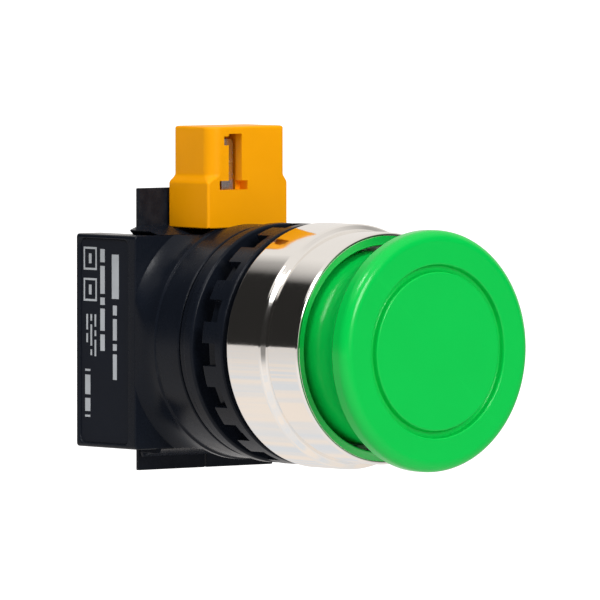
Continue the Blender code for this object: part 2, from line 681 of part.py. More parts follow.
def adapter_hollows():
    """Cutters for the collar's bore, the contact bay, the lock's seat and the lever."""
    tall = EAR_TOP + CUT
    bay_height = CONTACT_HEIGHT / 2 + GAP
    front_inner = contact_front + GAP
    lever_half = LEVER_WIDTH / 2 + GAP
    lock_half = LOCK_WIDTH / 2 + GAP
    carriers = math.hypot(contact_x + CARRIER_WIDTH / 2, CARRIER_HEIGHT / 2)
    opening = max(sleeve_bore, carriers) + GAP
    return (
        rod("collar_hollow", collar_bore, collar_floor, collar_front + CUT, steps=WIDE_STEPS),
        rod("pusher_opening", opening, front_inner - CUT, collar_floor + CUT, steps=28),
        box("contact_bay", (-bay_half, -bay_height, block_rear - CUT),
            (bay_half, bay_height, front_inner)),
        box("ear_bay", (-bay_half, -tall, block_rear - CUT), (bay_half, tall, ear_front + GAP)),
        box("lock_seat", (-lock_half, seat_level, ear_front), (lock_half, tall, lock_front + GAP)),
        box("lever_slot", (LEVER_X - lever_half, collar_bore - CUT * 2, lever_rear - GAP),
            (LEVER_X + lever_half, tall, lever_front + GAP)),
    )


def label_recess(side, half_width, half_height):
    """Shallow round-cornered recess in one cheek."""
    low = (-half_height + LABEL_MARGIN_EDGE, block_rear + LABEL_MARGIN_EDGE)
    high = (half_height - LABEL_MARGIN_EDGE, block_front - LABEL_MARGIN_FRONT)
    outline = rounded_rectangle(low, high, LABEL_CORNER)
    inner = half_width - LABEL_DEPTH
    ends = sorted((side * inner, side * (half_width + CUT)))
    return plate("label_" + ("right" if side > 0 else "left"), outline, *ends, plane="YZ")


def lock_ring():
    """Bayonet ring in the collar, with two tabs in the sleeve's groove."""
    ring = washer("bayonet_ring", lock_ring_bore, lock_ring_radius, lock_ring_front, lock_ring_rear,
                  "black_plastic", steps=36)
    tab_top = lock_ring_front - SNAP_SETBACK - GAP
    tab_bottom = tab_top - SNAP_WIDTH + 2 * GAP
    tab_inner = tail_radius - SNAP_GROOVE + GAP
    for side in (-1.0, 1.0):
        ends = sorted((side * tab_inner, side * (lock_ring_bore + LOCK_RING_WALL / 2)))
        join(ring, box("bayonet_tab", (ends[0], -SNAP_TAB / 2, tab_bottom),
                       (ends[1], SNAP_TAB / 2, tab_top)))
    half = LEVER_WIDTH / 2 + GAP
    slot = box("bayonet_slot", (LEVER_X - half, lock_ring_bore - 2 * MM, lever_rear - GAP),
               (LEVER_X + half, lock_ring_radius + CUT, lever_front + GAP))
    cut(ring, slot)


def locking_lever():
    """Sheet metal lever from the bayonet ring up into the safety lock."""
    low = math.sqrt(lock_ring_bore ** 2 - LEVER_X ** 2) + 0.5 * MM
    high = collar_radius + LEVER_REACH
    half = LEVER_WIDTH / 2
    corner = 0.4 * MM
    outline = [(LEVER_X - half, low), (LEVER_X + half, low), (LEVER_X + half, high - corner),
               (LEVER_X + half - corner, high), (LEVER_X - half + corner, high),
               (LEVER_X - half, high - corner)]
    plate("locking_lever", outline, lever_rear, lever_front, "zinc_steel")


def safety_lock():
    """Yellow clip over the lever, with a slot for a screwdriver in its face."""
    half = LOCK_WIDTH / 2
    top_half = LOCK_TOP_WIDTH / 2
    shoulder = lock_bottom + LOCK_SHOULDER
    slope_top = shoulder + LOCK_SLOPE
    top = lock_bottom + LOCK_HEIGHT
    right = [(half, lock_bottom), (half, shoulder), (top_half + 0.1 * MM, slope_top)]
    right += arc((top_half - LOCK_CORNER, top - LOCK_CORNER), LOCK_CORNER, 0, 90, 3)
    outline = right + [(-x, y) for x, y in reversed(right)]
    lock = plate("safety_lock", outline, lock_rear, lock_front, "yellow_plastic")
    step = LOCK_DEPTH - LOCK_TOP_DEPTH
    back = [(shoulder, lock_rear), (slope_top, lock_rear + step), (top + CUT, lock_rear + step),
            (top + CUT, lock_rear - CUT), (shoulder, lock_rear - CUT)]
    cut(lock, plate("lock_back_step", back, -half - CUT, half + CUT, plane="YZ"))
    cut(lock, *lock_hollows(top))


def lock_hollows(top):
    """Cutters for the lever's pocket and the stepped slot in the lock's face."""
    inner_top = top - LOCK_ROOF
    pocket_half = LEVER_WIDTH / 2 + GAP
    face = lock_front + CUT
    behind = lever_front
    slit_low = lock_bottom + SLIT_BOTTOM
    eye_right = LEVER_X - SLIT_WIDTH / 2 + 0.7 * MM
    eye_top = inner_top - 0.3 * MM
    foot_x = LEVER_X - 0.25 * MM
    return (
        box("lever_pocket", (LEVER_X - pocket_half, lock_bottom - CUT, lever_rear - GAP),
            (LEVER_X + pocket_half, inner_top, lever_front + GAP)),
        box("slit", (LEVER_X - SLIT_WIDTH / 2, slit_low, behind),
            (LEVER_X + SLIT_WIDTH / 2, inner_top, face)),
        box("slit_foot", (foot_x - SLIT_FOOT_WIDTH / 2, slit_low, behind),
            (foot_x + SLIT_FOOT_WIDTH / 2, slit_low + SLIT_FOOT_HEIGHT, face)),
        box("slit_eye", (eye_right - EYE_WIDTH, eye_top - EYE_HEIGHT, behind),
            (eye_right, eye_top, face)),
    )


# --- contact blocks ------------------------------------------------------------------------------
def contact_block(kind, side):
    """Every piece of one contact block; kind is no or nc, side is -1 or 1."""
    x = side * contact_x
    housing(kind, x)
    cover(kind, x)
    if kind == "no":
        bridge_rear, tip_face = no_bridge_rear, no_tip_face
        window = (bridge_rear - GAP, bridge_rear + METAL + CONTACT_SPRING_ROOM)
        spring_ends = (bridge_rear + METAL + GAP / 2, window[1] - GAP / 2)
    else:
        bridge_rear, tip_face = nc_bridge_rear, nc_tip_face
        window = (bridge_rear - CONTACT_SPRING_ROOM, bridge_rear + METAL + overtravel + GAP)
        spring_ends = (window[0] + GAP / 2, bridge_rear - GAP / 2)
    carrier(kind, x, window)
    bridge(kind, x, bridge_rear)
    coil(kind + "_contact_spring", CONTACT_SPRING_RADIUS, CONTACT_SPRING_WIRE, *spring_ends,
         CONTACT_SPRING_TURNS, "spring_steel", x=x, per_turn=8)
    for end, name in ((1.0, "upper"), (-1.0, "lower")):
        terminal(kind, name, x, end, tip_face)


def housing(kind, x):
    """Box open to the rear, with ears, a carrier guide and wire gates."""
    half = CONTACT_WIDTH / 2
    tall = CONTACT_HEIGHT / 2
    name = kind + "_housing"
    shell = box(name, (x - half, -tall, housing_rear), (x + half, tall, contact_front), "black_plastic")
    ear = box(name + "_ear", (x - half, -EAR_BOTTOM, ear_rear), (x + half, EAR_TOP, ear_front))
    join(shell, ear)
    inner = half - CONTACT_WALL
    room = box(name + "_room", (x - inner, -tall + CONTACT_WALL, housing_rear - CUT),
               (x + inner, tall - CONTACT_WALL, contact_front - CONTACT_WALL))
    guide = box(name + "_guide", (x - CARRIER_WIDTH / 2 - GAP, -CARRIER_HEIGHT / 2 - GAP, ear_rear),
                (x + CARRIER_WIDTH / 2 + GAP, CARRIER_HEIGHT / 2 + GAP, contact_front + CUT))
    gate_half = WIRE_GATE_WIDTH / 2
    gate = box(name + "_gate", (x - gate_half, -tall - CUT, housing_rear - CUT),
               (x + gate_half, tall + CUT, housing_rear + WIRE_GATE_DEPTH))
    cut(shell, room, guide, gate)


def cover(kind, x):
    """Rear cover with two driver holes and the carrier's window."""
    half = CONTACT_WIDTH / 2
    tall = CONTACT_HEIGHT / 2
    name = kind + "_cover"
    outline = rounded_rectangle((x - half, -tall), (x + half, tall), 0.5 * MM, 2)
    lid = plate(name, outline, cover_rear, cover_front, "black_plastic")
    wide, high = CARRIER_WIDTH / 2 + GAP, CARRIER_HEIGHT / 2 + GAP
    window = box(name + "_window", (x - wide, -high, cover_rear - CUT),
                 (x + wide, high, cover_front + CUT))
    cut(lid, window)
    for end in (1.0, -1.0):
        cut(lid, rod(name + "_driver_hole", SCREW_HEAD_RADIUS + DRIVER_CLEAR, cover_rear - CUT,
                     cover_front + CUT, x=x, y=end * terminal_y))


def carrier(kind, x, window):
    """Sliding carrier with a window for the bridge and its spring."""
    half = CARRIER_WIDTH / 2
    tall = CARRIER_HEIGHT / 2
    name = kind + "_carrier"
    stem = box(name, (x - half, -tall, cover_rear + GAP), (x + half, tall, carrier_front), "grey_plastic")
    opening = box(name + "_opening", (x - WINDOW_WIDTH / 2, -tall - CUT, window[0]),
                  (x + WINDOW_WIDTH / 2, tall + CUT, window[1]))
    cut(stem, opening)


def bridge(kind, x, rear):
    """Moving contact bar with a tip at each end."""
    half = tip_high + BRIDGE_END
    front = rear + METAL
    tip = rear - TIP_HEIGHT if kind == "no" else front + TIP_HEIGHT
    base = rear if kind == "no" else front
    far = front if kind == "no" else rear
    outline = [(-half, far), (-half, base)]
    for low, high in ((-tip_high, -tip_low), (tip_low, tip_high)):
        outline += [(low, base), (low, tip), (high, tip), (high, base)]
    outline += [(half, base), (half, far)]
    plate(kind + "_bridge", outline, x - BRIDGE_WIDTH / 2, x + BRIDGE_WIDTH / 2, "silver_alloy", "YZ")


def terminal(kind, name, x, end, tip_face):
    """Fixed contact strip, clamp plate and screw of one terminal."""
    inner = tip_low - GAP
    leg, far = strip_leg, strip_far
    if kind == "no":
        front, rear = tip_face - TIP_HEIGHT, tip_face - TIP_HEIGHT - METAL
        near = [(inner, rear), (inner, front), (tip_low, front), (tip_low, tip_face),
                (tip_high, tip_face), (tip_high, front), (leg, front)]
        outline = near + [(leg, pad_front), (far, pad_front), (far, pad_rear),
                          (leg + METAL, pad_rear), (leg + METAL, rear)]
    else:
        rear, front = tip_face + TIP_HEIGHT, tip_face + TIP_HEIGHT + METAL
        near = [(inner, front), (inner, rear), (tip_low, rear), (tip_low, tip_face),
                (tip_high, tip_face), (tip_high, rear), (leg, rear)]
        outline = near + [(leg, pad_rear), (far, pad_rear), (far, pad_front),
                          (leg + METAL, pad_front), (leg + METAL, front)]
    outline = [(end * y, z) for y, z in outline]
    label = kind + "_" + name
    strip = plate(label + "_terminal", outline, x - STRIP_WIDTH / 2, x + STRIP_WIDTH / 2, "brass", "YZ")
    y = end * terminal_y
    hole = rod(label + "_pad_hole", SCREW_RADIUS + GAP, pad_rear - CUT, pad_front + CUT, x=x, y=y)
    cut(strip, hole, solver="MANIFOLD")  # EXACT drops slivers beside the tip
    half, clamp_front = clamp_half, pad_rear - GAP
    clamp = box(label + "_clamp", (x - half, y - half, clamp_rear), (x + half, y + half, clamp_front),
                "zinc_steel")
    cut(clamp, rod(label + "_clamp_hole", SCREW_RADIUS + GAP, clamp_rear - CUT, clamp_front + CUT,
                   x=x, y=y))
    terminal_screw(label, x, y)


def terminal_screw(label, x, y):
    """Slotted pan head screw, its head towards the rear."""
    head_rear = screw_seat - SCREW_HEAD
    shank_end = screw_seat + SCREW_LENGTH
    profile = [(0.0, shank_end), (SCREW_RADIUS, shank_end), (SCREW_RADIUS, screw_seat),
               (SCREW_HEAD_RADIUS, screw_seat), (SCREW_HEAD_RADIUS, head_rear + SCREW_BEVEL),
               (SCREW_HEAD_RADIUS - SCREW_BEVEL, head_rear), (0.0, head_rear)]
    screw = turned(label + "_screw", profile, "zinc_steel", steps=SMALL_STEPS, closed=False)
    screw.location = (x, y, 0.0)
    slot = box(label + "_slot", (x - SCREW_HEAD_RADIUS - CUT, y - SCREW_SLOT / 2, head_rear - CUT),
               (x + SCREW_HEAD_RADIUS + CUT, y + SCREW_SLOT / 2, head_rear + SCREW_SLOT))
    cut(screw, slot)


button_cap()
plunger()
operator_sleeve()
shaft_seal()
return_spring()
bezel()
panel_rings()
adapter_nose()
adapter_body()
lock_ring()
locking_lever()
safety_lock()
contact_block("no", -1.0)
contact_block("nc", 1.0)
bpy.context.view_layer.update()
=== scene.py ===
"""Looks of the industrial push button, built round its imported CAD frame.

Lengths in the code are millimetres unless a name says otherwise, and meshes are written
in metres.  The button's axis is the world's Y axis: "front" is a distance towards -Y from
the rear face of the bezel, and radii are measured from the axis.
"""

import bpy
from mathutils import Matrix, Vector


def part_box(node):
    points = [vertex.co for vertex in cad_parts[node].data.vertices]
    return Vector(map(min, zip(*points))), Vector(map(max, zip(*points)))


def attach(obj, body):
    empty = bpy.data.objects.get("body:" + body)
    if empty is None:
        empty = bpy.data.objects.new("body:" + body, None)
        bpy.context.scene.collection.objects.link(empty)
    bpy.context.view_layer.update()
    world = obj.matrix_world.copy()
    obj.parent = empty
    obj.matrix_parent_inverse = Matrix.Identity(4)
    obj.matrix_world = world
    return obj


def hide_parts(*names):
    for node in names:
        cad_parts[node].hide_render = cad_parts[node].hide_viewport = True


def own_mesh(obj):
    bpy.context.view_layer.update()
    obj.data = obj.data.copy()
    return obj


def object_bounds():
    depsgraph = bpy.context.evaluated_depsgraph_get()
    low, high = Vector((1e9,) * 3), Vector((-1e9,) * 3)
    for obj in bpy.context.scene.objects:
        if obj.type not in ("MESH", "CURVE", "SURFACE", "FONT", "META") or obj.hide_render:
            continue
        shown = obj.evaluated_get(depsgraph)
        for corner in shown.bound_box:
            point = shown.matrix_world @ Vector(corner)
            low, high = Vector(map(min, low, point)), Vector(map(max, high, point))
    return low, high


bl_info = {
    "name": "Industrial push button",
    "version": (1, 0, 0),
    "blender": (4, 5, 0),
    "location": "3D View > Sidebar > Push Button",
    "description": "Detailed pieces, finishes and a studio for a panel-mount push button",
    "category": "Object",
}

import math

import bmesh
import bpy
import numpy as np
from bpy.props import FloatProperty, FloatVectorProperty, PointerProperty
from mathutils import Matrix, Vector

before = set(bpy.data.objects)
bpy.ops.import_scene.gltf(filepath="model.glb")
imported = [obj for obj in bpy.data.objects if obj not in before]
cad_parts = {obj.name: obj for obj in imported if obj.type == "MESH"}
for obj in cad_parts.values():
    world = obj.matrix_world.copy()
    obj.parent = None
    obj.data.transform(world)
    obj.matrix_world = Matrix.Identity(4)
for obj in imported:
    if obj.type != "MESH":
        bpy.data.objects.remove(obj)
CAD_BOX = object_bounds()

MM = 0.001
FULL_TURN = 2 * math.pi


class Extent:
    """Where a CAD node lies, in millimetres."""

    def __init__(self, node):
        low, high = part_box(node)
        self.left, self.right = low.x / MM, high.x / MM
        self.front, self.rear = -low.y / MM, -high.y / MM
        self.bottom, self.top = low.z / MM, high.z / MM
        self.middle = (self.left + self.right) / 2
        self.radius = (self.right - self.left) / 2


CAP = Extent("button_cap")
BEZEL = Extent("bezel")
SLEEVE = Extent("operator_sleeve")
PLUNGER = Extent("plunger")
GASKET = Extent("panel_gasket")
WASHER = Extent("thrust_washer")
RING = Extent("locking_ring")
NOSE = Extent("adapter_nose")
BODY = Extent("adapter_body")
LOCK = Extent("safety_lock")
LEVER = Extent("locking_lever")
SEAL = Extent("shaft_seal")


# --- sizes and colours a user may change ---
def length(name, description, default, least=0.0):
    """A length property, its default given in millimetres."""
    return FloatProperty(name=name, description=description, default=default * MM,
                         min=least, precision=5, subtype="DISTANCE", unit="LENGTH")


def colour(name, description, default):
    """A colour property, in linear RGB."""
    return FloatVectorProperty(name=name, description=description, default=default,
                               size=3, min=0.0, max=1.0, subtype="COLOR")


class PushButtonSizes(bpy.types.PropertyGroup):
    """Sizes of the details that the looks add to the frame."""

    face_groove_radius: length("Face groove", "Radius of the groove in the head's face", 9.95)
    face_groove_width: length("Groove width", "Width of the groove in the head's face", 0.95)
    face_groove_depth: length("Groove depth", "Depth of the groove in the head's face", 0.75)
    cap_edge: length("Head edge", "Rounding between the head's face and its rim", 1.3)
    rim_height: length("Rim height", "Height of the head's rim", 2.35)
    bezel_lip: length("Bezel lip", "Rounding of the bezel's front lip", 0.35)
    thread_pitch: length("Thread pitch", "Pitch of the sleeve's thread", 1.5)
    thread_depth: length("Thread depth", "Depth of the sleeve's thread", 0.5)
    moulded_edge: length("Moulded edge", "Rounding of small moulded edges", 0.12)
    sheet_edge: length("Sheet edge", "Rounding of stamped metal edges", 0.06)
    lock_corner: length("Lock corner", "Rounding of the safety lock's upper corners", 1.6)


class PushButtonFinish(bpy.types.PropertyGroup):
    """Colours of the finishes."""

    green: colour("Head green", "Glossy moulded plastic of the head", (0.0022, 0.59, 0.078))
    yellow: colour("Lock yellow", "Moulded plastic of the safety lock", (1.0, 0.40, 0.0))
    black: colour("Body black", "Moulded plastic of the adapter", (0.0072, 0.0096, 0.0155))
    grey: colour("Inner grey", "Moulded plastic of the inner pieces", (0.22, 0.23, 0.24))
    chrome: colour("Chrome", "Plated metal of the bezel", (0.92, 0.90, 0.87))
    zinc: colour("Zinc", "Zinc-plated steel", (0.62, 0.63, 0.66))
    brass: colour("Brass", "Stamped terminal strips", (0.72, 0.51, 0.21))
    print: colour("Label marks", "Pale marks on the label", (0.50, 0.54, 0.58))


# --- shader node groups ---
def feed(tree, node, inputs):
    """Fill a node's named or numbered inputs: a socket is linked and a value is stored."""
    for key, value in inputs.items():
        if isinstance(value, bpy.types.NodeSocket):
            tree.links.new(value, node.inputs[key])
        else:
            node.inputs[key].default_value = value
    return node


def add_node(tree, kind, inputs=None, **settings):
    """A new shader node with its settings made and its inputs filled."""
    node = tree.nodes.new("ShaderNode" + kind)
    for name, value in settings.items():
        setattr(node, name, value)
    return feed(tree, node, inputs or {})


def noise(tree, vector, scale, detail, roughness=0.5):
    """A noise texture read at a vector; returns its value socket."""
    return add_node(tree, "TexNoise", {"Vector": vector, "Scale": scale, "Detail": detail,
                                       "Roughness": roughness}).outputs["Fac"]


def remap(tree, value, low, high, to_low, to_high):
    """Values between low and high are spread between to_low and to_high, and held there."""
    return add_node(tree, "MapRange", {"Value": value, "From Min": low, "From Max": high,
                                       "To Min": to_low, "To Max": to_high}).outputs["Result"]


def maths(tree, operation, first, *others):
    """One operation run through its operands from the left; each is a socket or a number."""
    for other in others:
        first = add_node(tree, "Math", {0: first, 1: other}, operation=operation).outputs["Value"]
    return first


def blend(tree, mask, first, second):
    """The colour between two, by a mask; each colour is a socket or linear RGBA."""
    return add_node(tree, "Mix", {0: mask, 6: first, 7: second}, data_type="RGBA").outputs[2]


def new_group(name, inputs, outputs):
    """An empty shader group and its two end nodes.

    A socket is its label, its kind and, for some inputs, its default."""
    group = bpy.data.node_groups.new(name, "ShaderNodeTree")
    for label, kind, *default in inputs:
        socket = group.interface.new_socket(label, in_out="INPUT", socket_type="NodeSocket" + kind)
        if default:
            socket.default_value = default[0]
    for label, kind in outputs:
        group.interface.new_socket(label, in_out="OUTPUT", socket_type="NodeSocket" + kind)
    return group, group.nodes.new("NodeGroupInput"), group.nodes.new("NodeGroupOutput")


def surface_group():
    """Colour drift, roughness drift and fine height of a worked surface.

    The colour is the base colour darkened or lightened by soft blotches.  Roughness drifts
    with the same blotches and rises in fine smudges.  Height is a fine orange-peel grain
    with sparse scratches, long noise cells stretched along one direction."""
    group, start, end = new_group(
        "worked_surface",
        [("Vector", "Vector"), ("Colour", "Color"), ("Drift", "Float", 0.05),
         ("Roughness", "Float", 0.3), ("Roughness Drift", "Float", 0.08),
         ("Grain Scale", "Float", 2500.0), ("Scratches", "Float", 0.2)],
        [("Colour", "Color"), ("Roughness", "Float"), ("Height", "Float")])
    given = start.outputs
    vector = given["Vector"]
    blotch = noise(group, vector, 140.0, 3.0)
    smudge = noise(group, vector, 650.0, 4.0, 0.65)
    grain = noise(group, vector, given["Grain Scale"], 2.0)
    tint = remap(group, blotch, 0.3, 0.7, maths(group, "SUBTRACT", 1.0, given["Drift"]),
                 maths(group, "ADD", 1.0, given["Drift"]))
    tinted = add_node(group, "VectorMath", {0: given["Colour"], "Scale": tint}, operation="SCALE")
    spread = maths(group, "MULTIPLY", given["Roughness Drift"],
                   remap(group, maths(group, "ADD", blotch, smudge), 0.75, 1.25, -1.0, 1.0))
    stretched = add_node(group, "Mapping", {"Vector": vector, "Scale": (180.0, 3200.0, 900.0),
                                            "Rotation": (0.4, 0.7, 0.5)}).outputs["Vector"]
    scratch = remap(group, noise(group, stretched, 1.0, 1.0), 0.68, 0.74, 0.0, 1.0)
    cut = maths(group, "MULTIPLY", scratch, given["Scratches"])
    feed(group, end, {"Colour": tinted.outputs["Vector"],
                      "Roughness": maths(group, "ADD", given["Roughness"], spread),
                      "Height": maths(group, "SUBTRACT", grain, cut)})
    return group


def wear_group():
    """Edge wear: a mask that is 1 on convex edges, broken up by noise.

    Convex edges are where the surface's pointiness is above a threshold."""
    group, start, end = new_group(
        "edge_wear", [("Vector", "Vector"), ("Pointiness", "Float", 0.5), ("Amount", "Float", 0.5)],
        [("Mask", "Float")])
    edge = remap(group, start.outputs["Pointiness"], 0.53, 0.62, 0.0, 1.0)
    patch = remap(group, noise(group, start.outputs["Vector"], 900.0, 4.0, 0.6), 0.4, 0.65, 0.15, 1.0)
    feed(group, end, {"Mask": maths(group, "MULTIPLY", edge, patch, start.outputs["Amount"])})
    return group


SURFACE = surface_group()
WEAR = wear_group()
RELIEF = 0.00005


# --- materials ---
def finish_material(name, base, roughness, metallic=0.0, drift=0.04, roughness_drift=0.05,
                    grain=2500.0, bump=0.03, scratches=0.2, wear=0.25, worn=None, **sockets):
    """A Principled finish whose colour, roughness and height come from the shared groups."""
    material = bpy.data.materials.new(name + "_finish")
    material.use_nodes = True
    tree = material.node_tree
    place = add_node(tree, "TexCoord").outputs["Object"]
    surface = add_node(tree, "Group", {
        "Vector": place, "Colour": (*base, 1.0), "Drift": drift, "Roughness": roughness,
        "Roughness Drift": roughness_drift, "Grain Scale": grain, "Scratches": scratches},
        node_tree=SURFACE).outputs
    pointiness = add_node(tree, "NewGeometry").outputs["Pointiness"]
    edges = add_node(tree, "Group", {"Vector": place, "Pointiness": pointiness, "Amount": wear},
                     node_tree=WEAR).outputs
    worn = worn or [min(1.0, c * 1.3 + 0.01) for c in base]
    relief = add_node(tree, "Bump", {"Strength": bump, "Distance": RELIEF, "Height": surface["Height"]})
    feed(tree, tree.nodes["Principled BSDF"], {
        "Base Color": blend(tree, edges["Mask"], surface["Colour"], (*worn, 1.0)),
        "Roughness": surface["Roughness"], "Metallic": metallic, "Normal": relief.outputs["Normal"],
        **{key.replace("_", " "): value for key, value in sockets.items()}})
    return material


def finish_called(name, context):
    """The finish of a slot; all of them are made together from the scene's colours."""
    chosen = context.scene.push_button_finish
    if name + "_finish" not in bpy.data.materials:
        finish_material("green_gloss", chosen.green, 0.2, bump=0.04, drift=0.015,
                        wear=0.1, IOR=1.46, Specular_IOR_Level=0.3)
        finish_material("yellow_plastic", chosen.yellow, 0.42, bump=0.08, drift=0.03,
                        wear=0.15, IOR=1.46, Specular_IOR_Level=0.15)
        finish_material("black_plastic", chosen.black, 0.27, bump=0.12, drift=0.1,
                        grain=3200.0, wear=0.4, worn=(0.03, 0.033, 0.04), IOR=1.48,
                        Specular_IOR_Level=0.12)
        finish_material("label_panel", (0.0066, 0.0094, 0.0165), 0.34, bump=0.05, drift=0.06,
                        wear=0.0, Specular_IOR_Level=0.1)
        finish_material("grey_plastic", chosen.grey, 0.45, bump=0.1, drift=0.05)
        finish_material("chrome", chosen.chrome, 0.07, metallic=1.0, bump=0.01,
                        drift=0.01, roughness_drift=0.02, scratches=0.1, wear=0.0)
        finish_material("die_cast", (0.42, 0.42, 0.43), 0.42, metallic=1.0, bump=0.3,
                        drift=0.08, roughness_drift=0.1)
        finish_material("zinc_steel", chosen.zinc, 0.27, metallic=1.0, bump=0.12,
                        drift=0.06, roughness_drift=0.1, scratches=0.6)
        finish_material("spring_steel", (0.46, 0.46, 0.48), 0.3, metallic=1.0, bump=0.1)
        finish_material("silver_alloy", (0.78, 0.76, 0.73), 0.3, metallic=1.0, bump=0.15,
                        scratches=0.5)
        finish_material("brass", chosen.brass, 0.3, metallic=1.0, bump=0.12, drift=0.08,
                        scratches=0.5)
        finish_material("rubber", (0.02, 0.02, 0.021), 0.75, bump=0.3, drift=0.15,
                        worn=(0.05, 0.05, 0.05))
        finish_material("label_print", chosen.print, 0.5, bump=0.1, drift=0.12, wear=0.0)
    return bpy.data.materials[name + "_finish"]


# --- surfaces ---
def rounded(corners, segments=5, closed=True):
    """Corners (u, v, radius) joined by straight lines and tangent arcs.

    The arc at a corner P between unit directions a and b has its centre on their bisector
    at radius / sin(half angle), and touches the lines radius / tan(half angle) from P.
    Two more points just outside each arc hold the flats' shading."""
    points = [np.array(c[:2], float) for c in corners]
    path = []
    count = len(corners)
    for i, corner in enumerate(corners):
        radius = corner[2] if len(corner) > 2 else 0.0
        if radius <= 0.0 or (not closed and i in (0, count - 1)):
            path.append(points[i][None])
            continue
        a = points[i - 1] - points[i]
        b = points[(i + 1) % count] - points[i]
        reach = min(np.linalg.norm(a), np.linalg.norm(b))
        a, b = a / np.linalg.norm(a), b / np.linalg.norm(b)
        half = math.acos(np.clip(a @ b, -1.0, 1.0)) / 2
        if half > math.pi / 2 - 1e-4:
            path.append(points[i][None])
            continue
        touch = radius / math.tan(half)
        centre = points[i] + (a + b) / np.linalg.norm(a + b) * radius / math.sin(half)
        begin, end = points[i] + a * touch - centre, points[i] + b * touch - centre
        sweep = math.pi - 2 * half
        t = np.linspace(0.0, 1.0, segments + 1)[:, None]
        arc = (np.sin((1 - t) * sweep) * begin + np.sin(t * sweep) * end) / math.sin(sweep)
        hold = min(0.04, (reach - touch) * 0.3)
        before, after = (points[i] + a * (touch + hold))[None], (points[i] + b * (touch + hold))[None]
        path += [before, centre + arc, after] if hold > 0 else [centre + arc]
    return np.concatenate(path)


def rectangle(left, right, low, high, corner=0.0, segments=5):
    """A closed outline with equal round corners."""
    return rounded([(left, low, corner), (right, low, corner), (right, high, corner),
                    (left, high, corner)], segments)


def grid_faces(rows, columns, wrap_rows, wrap_columns):
    """Quads of a grid of points numbered row by row."""
    i = np.arange(rows if wrap_rows else rows - 1)
    j = np.arange(columns if wrap_columns else columns - 1)
    i, j = np.meshgrid(i, j, indexing="ij")
    down, along = (i + 1) % rows, (j + 1) % columns
    quads = (i * columns + j, i * columns + along, down * columns + along, down * columns + j)
    return np.stack(quads, -1).reshape(-1, 4)


def new_piece(name, points, faces, extra_faces=(), sharp=40.0):
    """An object from points in millimetres and faces, merged, closed and facing outwards."""
    mesh = bpy.data.meshes.new(name)
    mesh.from_pydata((np.asarray(points).reshape(-1, 3) * MM).tolist(), [],
                     faces.tolist() + [list(map(int, f)) for f in extra_faces])
    form = bmesh.new()
    form.from_mesh(mesh)
    bmesh.ops.remove_doubles(form, verts=form.verts, dist=2e-7)
    bmesh.ops.recalc_face_normals(form, faces=form.faces)
    if form.calc_volume(signed=True) < 0:
        bmesh.ops.reverse_faces(form, faces=form.faces)
    form.to_mesh(mesh)
    form.free()
    return shade(link(name, mesh), sharp)


def link(name, mesh):
    """A new object in the scene's collection."""
    obj = bpy.data.objects.new(name, mesh)
    bpy.context.scene.collection.objects.link(obj)
    return obj


def shade(obj, sharp=40.0):
    """Smooth shading with edges sharper than an angle kept."""
    obj.data.shade_smooth()
    obj.data.set_sharp_from_angle(angle=math.radians(sharp))
    return obj


def spun(radius, front, angle):
    """Points (radius cos a, -front, radius sin a) round the button's axis."""
    return np.stack([radius * np.cos(angle), -front + 0 * angle, radius * np.sin(angle)], -1)


def turned(name, outline, steps=192, sharp=40.0):
    """A surface of revolution through the points (radius, front) of an outline.

    An outline whose ends both lie on the axis is closed there, and any other joins its last
    point to its first."""
    outline = np.asarray(outline, float)
    on_axis = outline[0, 0] < 1e-6 and outline[-1, 0] < 1e-6
    points = spun(outline[:, :1], outline[:, 1:], np.arange(steps) * FULL_TURN / steps)
    return new_piece(name, points, grid_faces(len(outline), steps, not on_axis, True), sharp=sharp)


def lofted(name, loops):
    """A skin through closed loops of points, with a flat face on the first and the last."""
    loops = np.asarray(loops, float)
    rows, columns = loops.shape[:2]
    last = (rows - 1) * columns
    ends = (np.arange(columns), np.arange(columns) + last)
    return new_piece(name, loops, grid_faces(rows, columns, False, True), ends)


def laid(outline, level, axis):
    """A flat outline as points at one level.

    Its two columns are (x, height) for "front", (front, height) for "side" and (x, front)
    for "up", and the level is the third."""
    u, v = outline[:, 0], outline[:, 1]
    w = np.full(len(outline), level)
    return np.stack({"front": (u, -w, v), "side": (w, -u, v), "up": (u, -v, w)}[axis], -1)


def slab(name, outline, low, high, axis, edge=0.0):
    """A flat outline given thickness between low and high, its end edges rounded.

    Near each end the outline shrinks towards its own centre by edge (1 - cos a) while its
    height grows by edge sin a, for a from 0 to 90 degrees."""
    outline = np.asarray(outline, float)
    heights, insets = [low, high], [0.0, 0.0]
    if edge:
        a = np.linspace(0, math.pi / 2, 4)
        rise, inset = edge * np.sin(a), edge * (1 - np.cos(a))
        heights = np.concatenate([[low], low + edge - rise[::-1][1:], [low + edge + 0.03],
                                  [high - edge - 0.03], high - edge + rise])
        insets = np.concatenate([[edge], inset[::-1][1:], [0.0], [0.0], inset])
    middle = (outline.max(0) + outline.min(0)) / 2
    half = (outline.max(0) - outline.min(0)) / 2
    loops = []
    for height, shrink in zip(heights, insets):
        loops.append(laid(middle + (outline - middle) * (1 - shrink / half), height, axis))
    return lofted(name, loops)


def block(name, left, right, rear, front, bottom, top):
    """A box between two sides, two fronts and two heights."""
    return slab(name, rectangle(left, right, rear, front), bottom, top, "up")


def combine(target, others, operation):
    """Apply one boolean for each of the others, which are used up."""
    for other in others:
        modifier = target.modifiers.new(other.name, "BOOLEAN")
        modifier.operation, modifier.solver, modifier.object = operation, "MANIFOLD", other
    bpy.context.view_layer.update()
    graph = bpy.context.evaluated_depsgraph_get()
    mesh = bpy.data.meshes.new_from_object(target.evaluated_get(graph))
    target.modifiers.clear()
    target.data = mesh
    for other in others:
        bpy.data.objects.remove(other, do_unlink=True)
    return shade(target)


